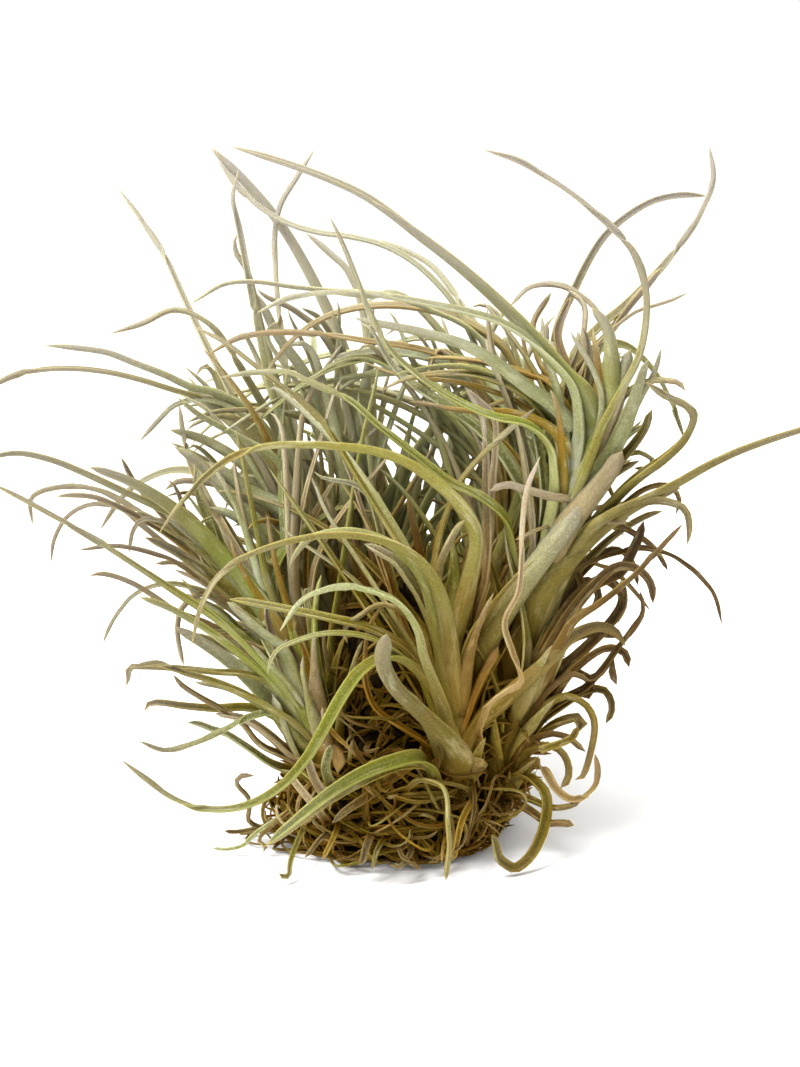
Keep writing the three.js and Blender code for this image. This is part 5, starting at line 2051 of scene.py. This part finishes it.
    def _curl(self, draw: np.random.Generator) -> Leaf:
        """One curled strand that hugs the core.

        Args:
            draw: the source of its shape.

        Returns:
            The strand, as a leaf with no stem.
        """
        theta = draw.uniform(0, 2 * math.pi)
        low = draw.uniform() < LOW_STRANDS
        phi = math.asin(draw.uniform(self.lowest, 0.3) if low else draw.uniform(0.3, 0.95))
        start = self.centre + self.radii * way_out(theta, phi)
        normal = unit((start - self.centre) / self.radii**2)
        across = np.cross(normal, draw.normal(size=3) + draw.choice((-0.9, 0.9)) * UP)
        way = unit(unit(across) + normal * draw.uniform(-0.2, 0.6))
        length = draw.uniform(*STRAND.lengths)
        turn_axis = unit(draw.normal(size=3) + normal * draw.choice((-1.5, 1.5)))
        turn = draw.normal(0, STRAND.curl)
        wave, phase = draw.uniform(0.2, 0.55), draw.uniform(0, FULL_TURN)
        shake = draw.uniform(*STRAND.wander)
        wave_axis = unit(draw.normal(size=3))
        layers = [draw.uniform(*layer) for layer in STRAND_LAYERS]
        hug = draw.choice(layers, p=LAYER_SHARES)
        points = [start]
        spacing = STRAND_SPACING
        for step in range(int(length / spacing)):
            share = step * spacing / length
            offset = (points[-1] - self.centre) / self.radii
            gap = np.linalg.norm(offset) - hug
            way = unit(way - unit(offset / self.radii) * gap * 1.1)
            way = turned(way, turn_axis, turn * spacing * (0.3 + 1.9 * share * share))
            way = turned(way, wave_axis, shake * spacing * math.sin(wave * step + phase))
            points.append(points[-1] + way * spacing)
        row = kept_above_floor(np.array(points), self.floor_gap)
        free = (seen_at(row)[:, 1] <= 5) & (row[:, X] <= 0)
        row = cut_off(row, ~THICK_PART.holds(row) & ~free)
        thin = draw.uniform() < THIN_STRANDS
        width = draw.uniform(*STRAND.widths) if thin else draw.uniform(*THICK_WIDTHS)
        share = np.linspace(0, 1, len(row))
        spans = width * (1 - draw.uniform(0.3, 0.8) * share)
        spans = spans * (1 + 0.15 * np.sin(share * 17 + phase))
        uppers = carried_uppers(row, unit(normal + draw.normal(0, 0.6, 3)))
        tone = float(draw.uniform(*STRAND.tones))
        return Leaf(row, spans, uppers, tone, tip_reach=0.08, greyed=0.75, spacing=1.4, sides=2)


# The lights face this point, in metres.
PLANT_MIDDLE = np.array([0.0, 0.0, 0.07])
SENSOR_WIDTH = 36.0
FLOOR_SHADES = ((0.965, 0.965, 0.96, 1.0), (0.955, 0.955, 0.95, 1.0))
SURROUND_STRENGTH = 1.05


@dataclass
class Studio:
    """Floor, lights and camera."""

    floor_size: float = 6.0

    def build(self) -> None:
        """Make the whole studio."""
        self._floor()
        self._world()
        self._light("key_light", (-0.5, -0.45, 0.95), 0.5, 21.5)
        self._light("top_light", (0.15, 0.4, 1.1), 0.8, 4.0)
        self._camera()

    def _floor(self) -> None:
        """A plain pale floor."""
        half = self.floor_size / 2
        mesh = bpy.data.meshes.new("floor")
        corners = [(-half, -half, 0), (half, -half, 0), (half, half, 0), (-half, half, 0)]
        mesh.from_pydata(corners, [], [(0, 1, 2, 3)])
        surface = Surface("floor_paint")
        soft = surface.noise(surface.place(), 3.0)
        body = surface.mix(soft * 0.05, *FLOOR_SHADES)
        mesh.materials.append(surface.finish(body, 0.9, soft, 0.0, {}))
        made = bpy.data.objects.new("floor", mesh)
        bpy.context.scene.collection.objects.link(made)

    @staticmethod
    def _world() -> None:
        """An even white surround."""
        world = bpy.data.worlds.new("surround")
        world.use_nodes = True
        back = world.node_tree.nodes["Background"]
        back.inputs["Color"].default_value = (1.0, 1.0, 1.0, 1.0)
        back.inputs["Strength"].default_value = SURROUND_STRENGTH
        bpy.context.scene.world = world
        bpy.context.scene.view_settings.view_transform = "Standard"

    @staticmethod
    def _light(
        name: str, place: Tuple[float, float, float], size: float, power: float
    ) -> None:
        """A soft square light that faces the plant.

        Args:
            name: the light's name.
            place: where it hangs, in metres.
            size: its side, in metres.
            power: its power, in watts.
        """
        data = bpy.data.lights.new(name, "AREA")
        data.size = size
        data.energy = power
        made = bpy.data.objects.new(name, data)
        bpy.context.scene.collection.objects.link(made)
        made.location = place
        x, y, z = PLANT_MIDDLE - np.array(place)
        made.rotation_euler = (math.atan2(math.hypot(x, y), -z), 0.0, math.atan2(-x, y))

    @staticmethod
    def _camera() -> None:
        """The viewer in front of the plant and a little above it."""
        data = bpy.data.cameras.new("viewer")
        data.sensor_width = SENSOR_WIDTH
        data.lens = SENSOR_WIDTH * VIEW_DISTANCE / SHEET_HEIGHT
        made = bpy.data.objects.new("viewer", data)
        bpy.context.scene.collection.objects.link(made)
        made.location = tuple(EYE * MM)
        made.rotation_euler = (math.pi / 2 - VIEW_TILT, 0.0, 0.0)
        bpy.context.scene.camera = made


def main() -> None:
    """Build the plant and its studio."""
    logging.basicConfig(level=logging.INFO, format="%(name)s %(message)s")
    palette = Palette()
    Studio().build()
    names = [node for node in sorted(frame["nodes"]) if node.endswith(SHOOT_SUFFIX)]
    stems = {node[: -len(SHOOT_SUFFIX)]: Stem.from_solid(node) for node in names}
    Crown(palette, stems).build()
    Nest(palette).build()


if __name__ == "__main__":
    main()
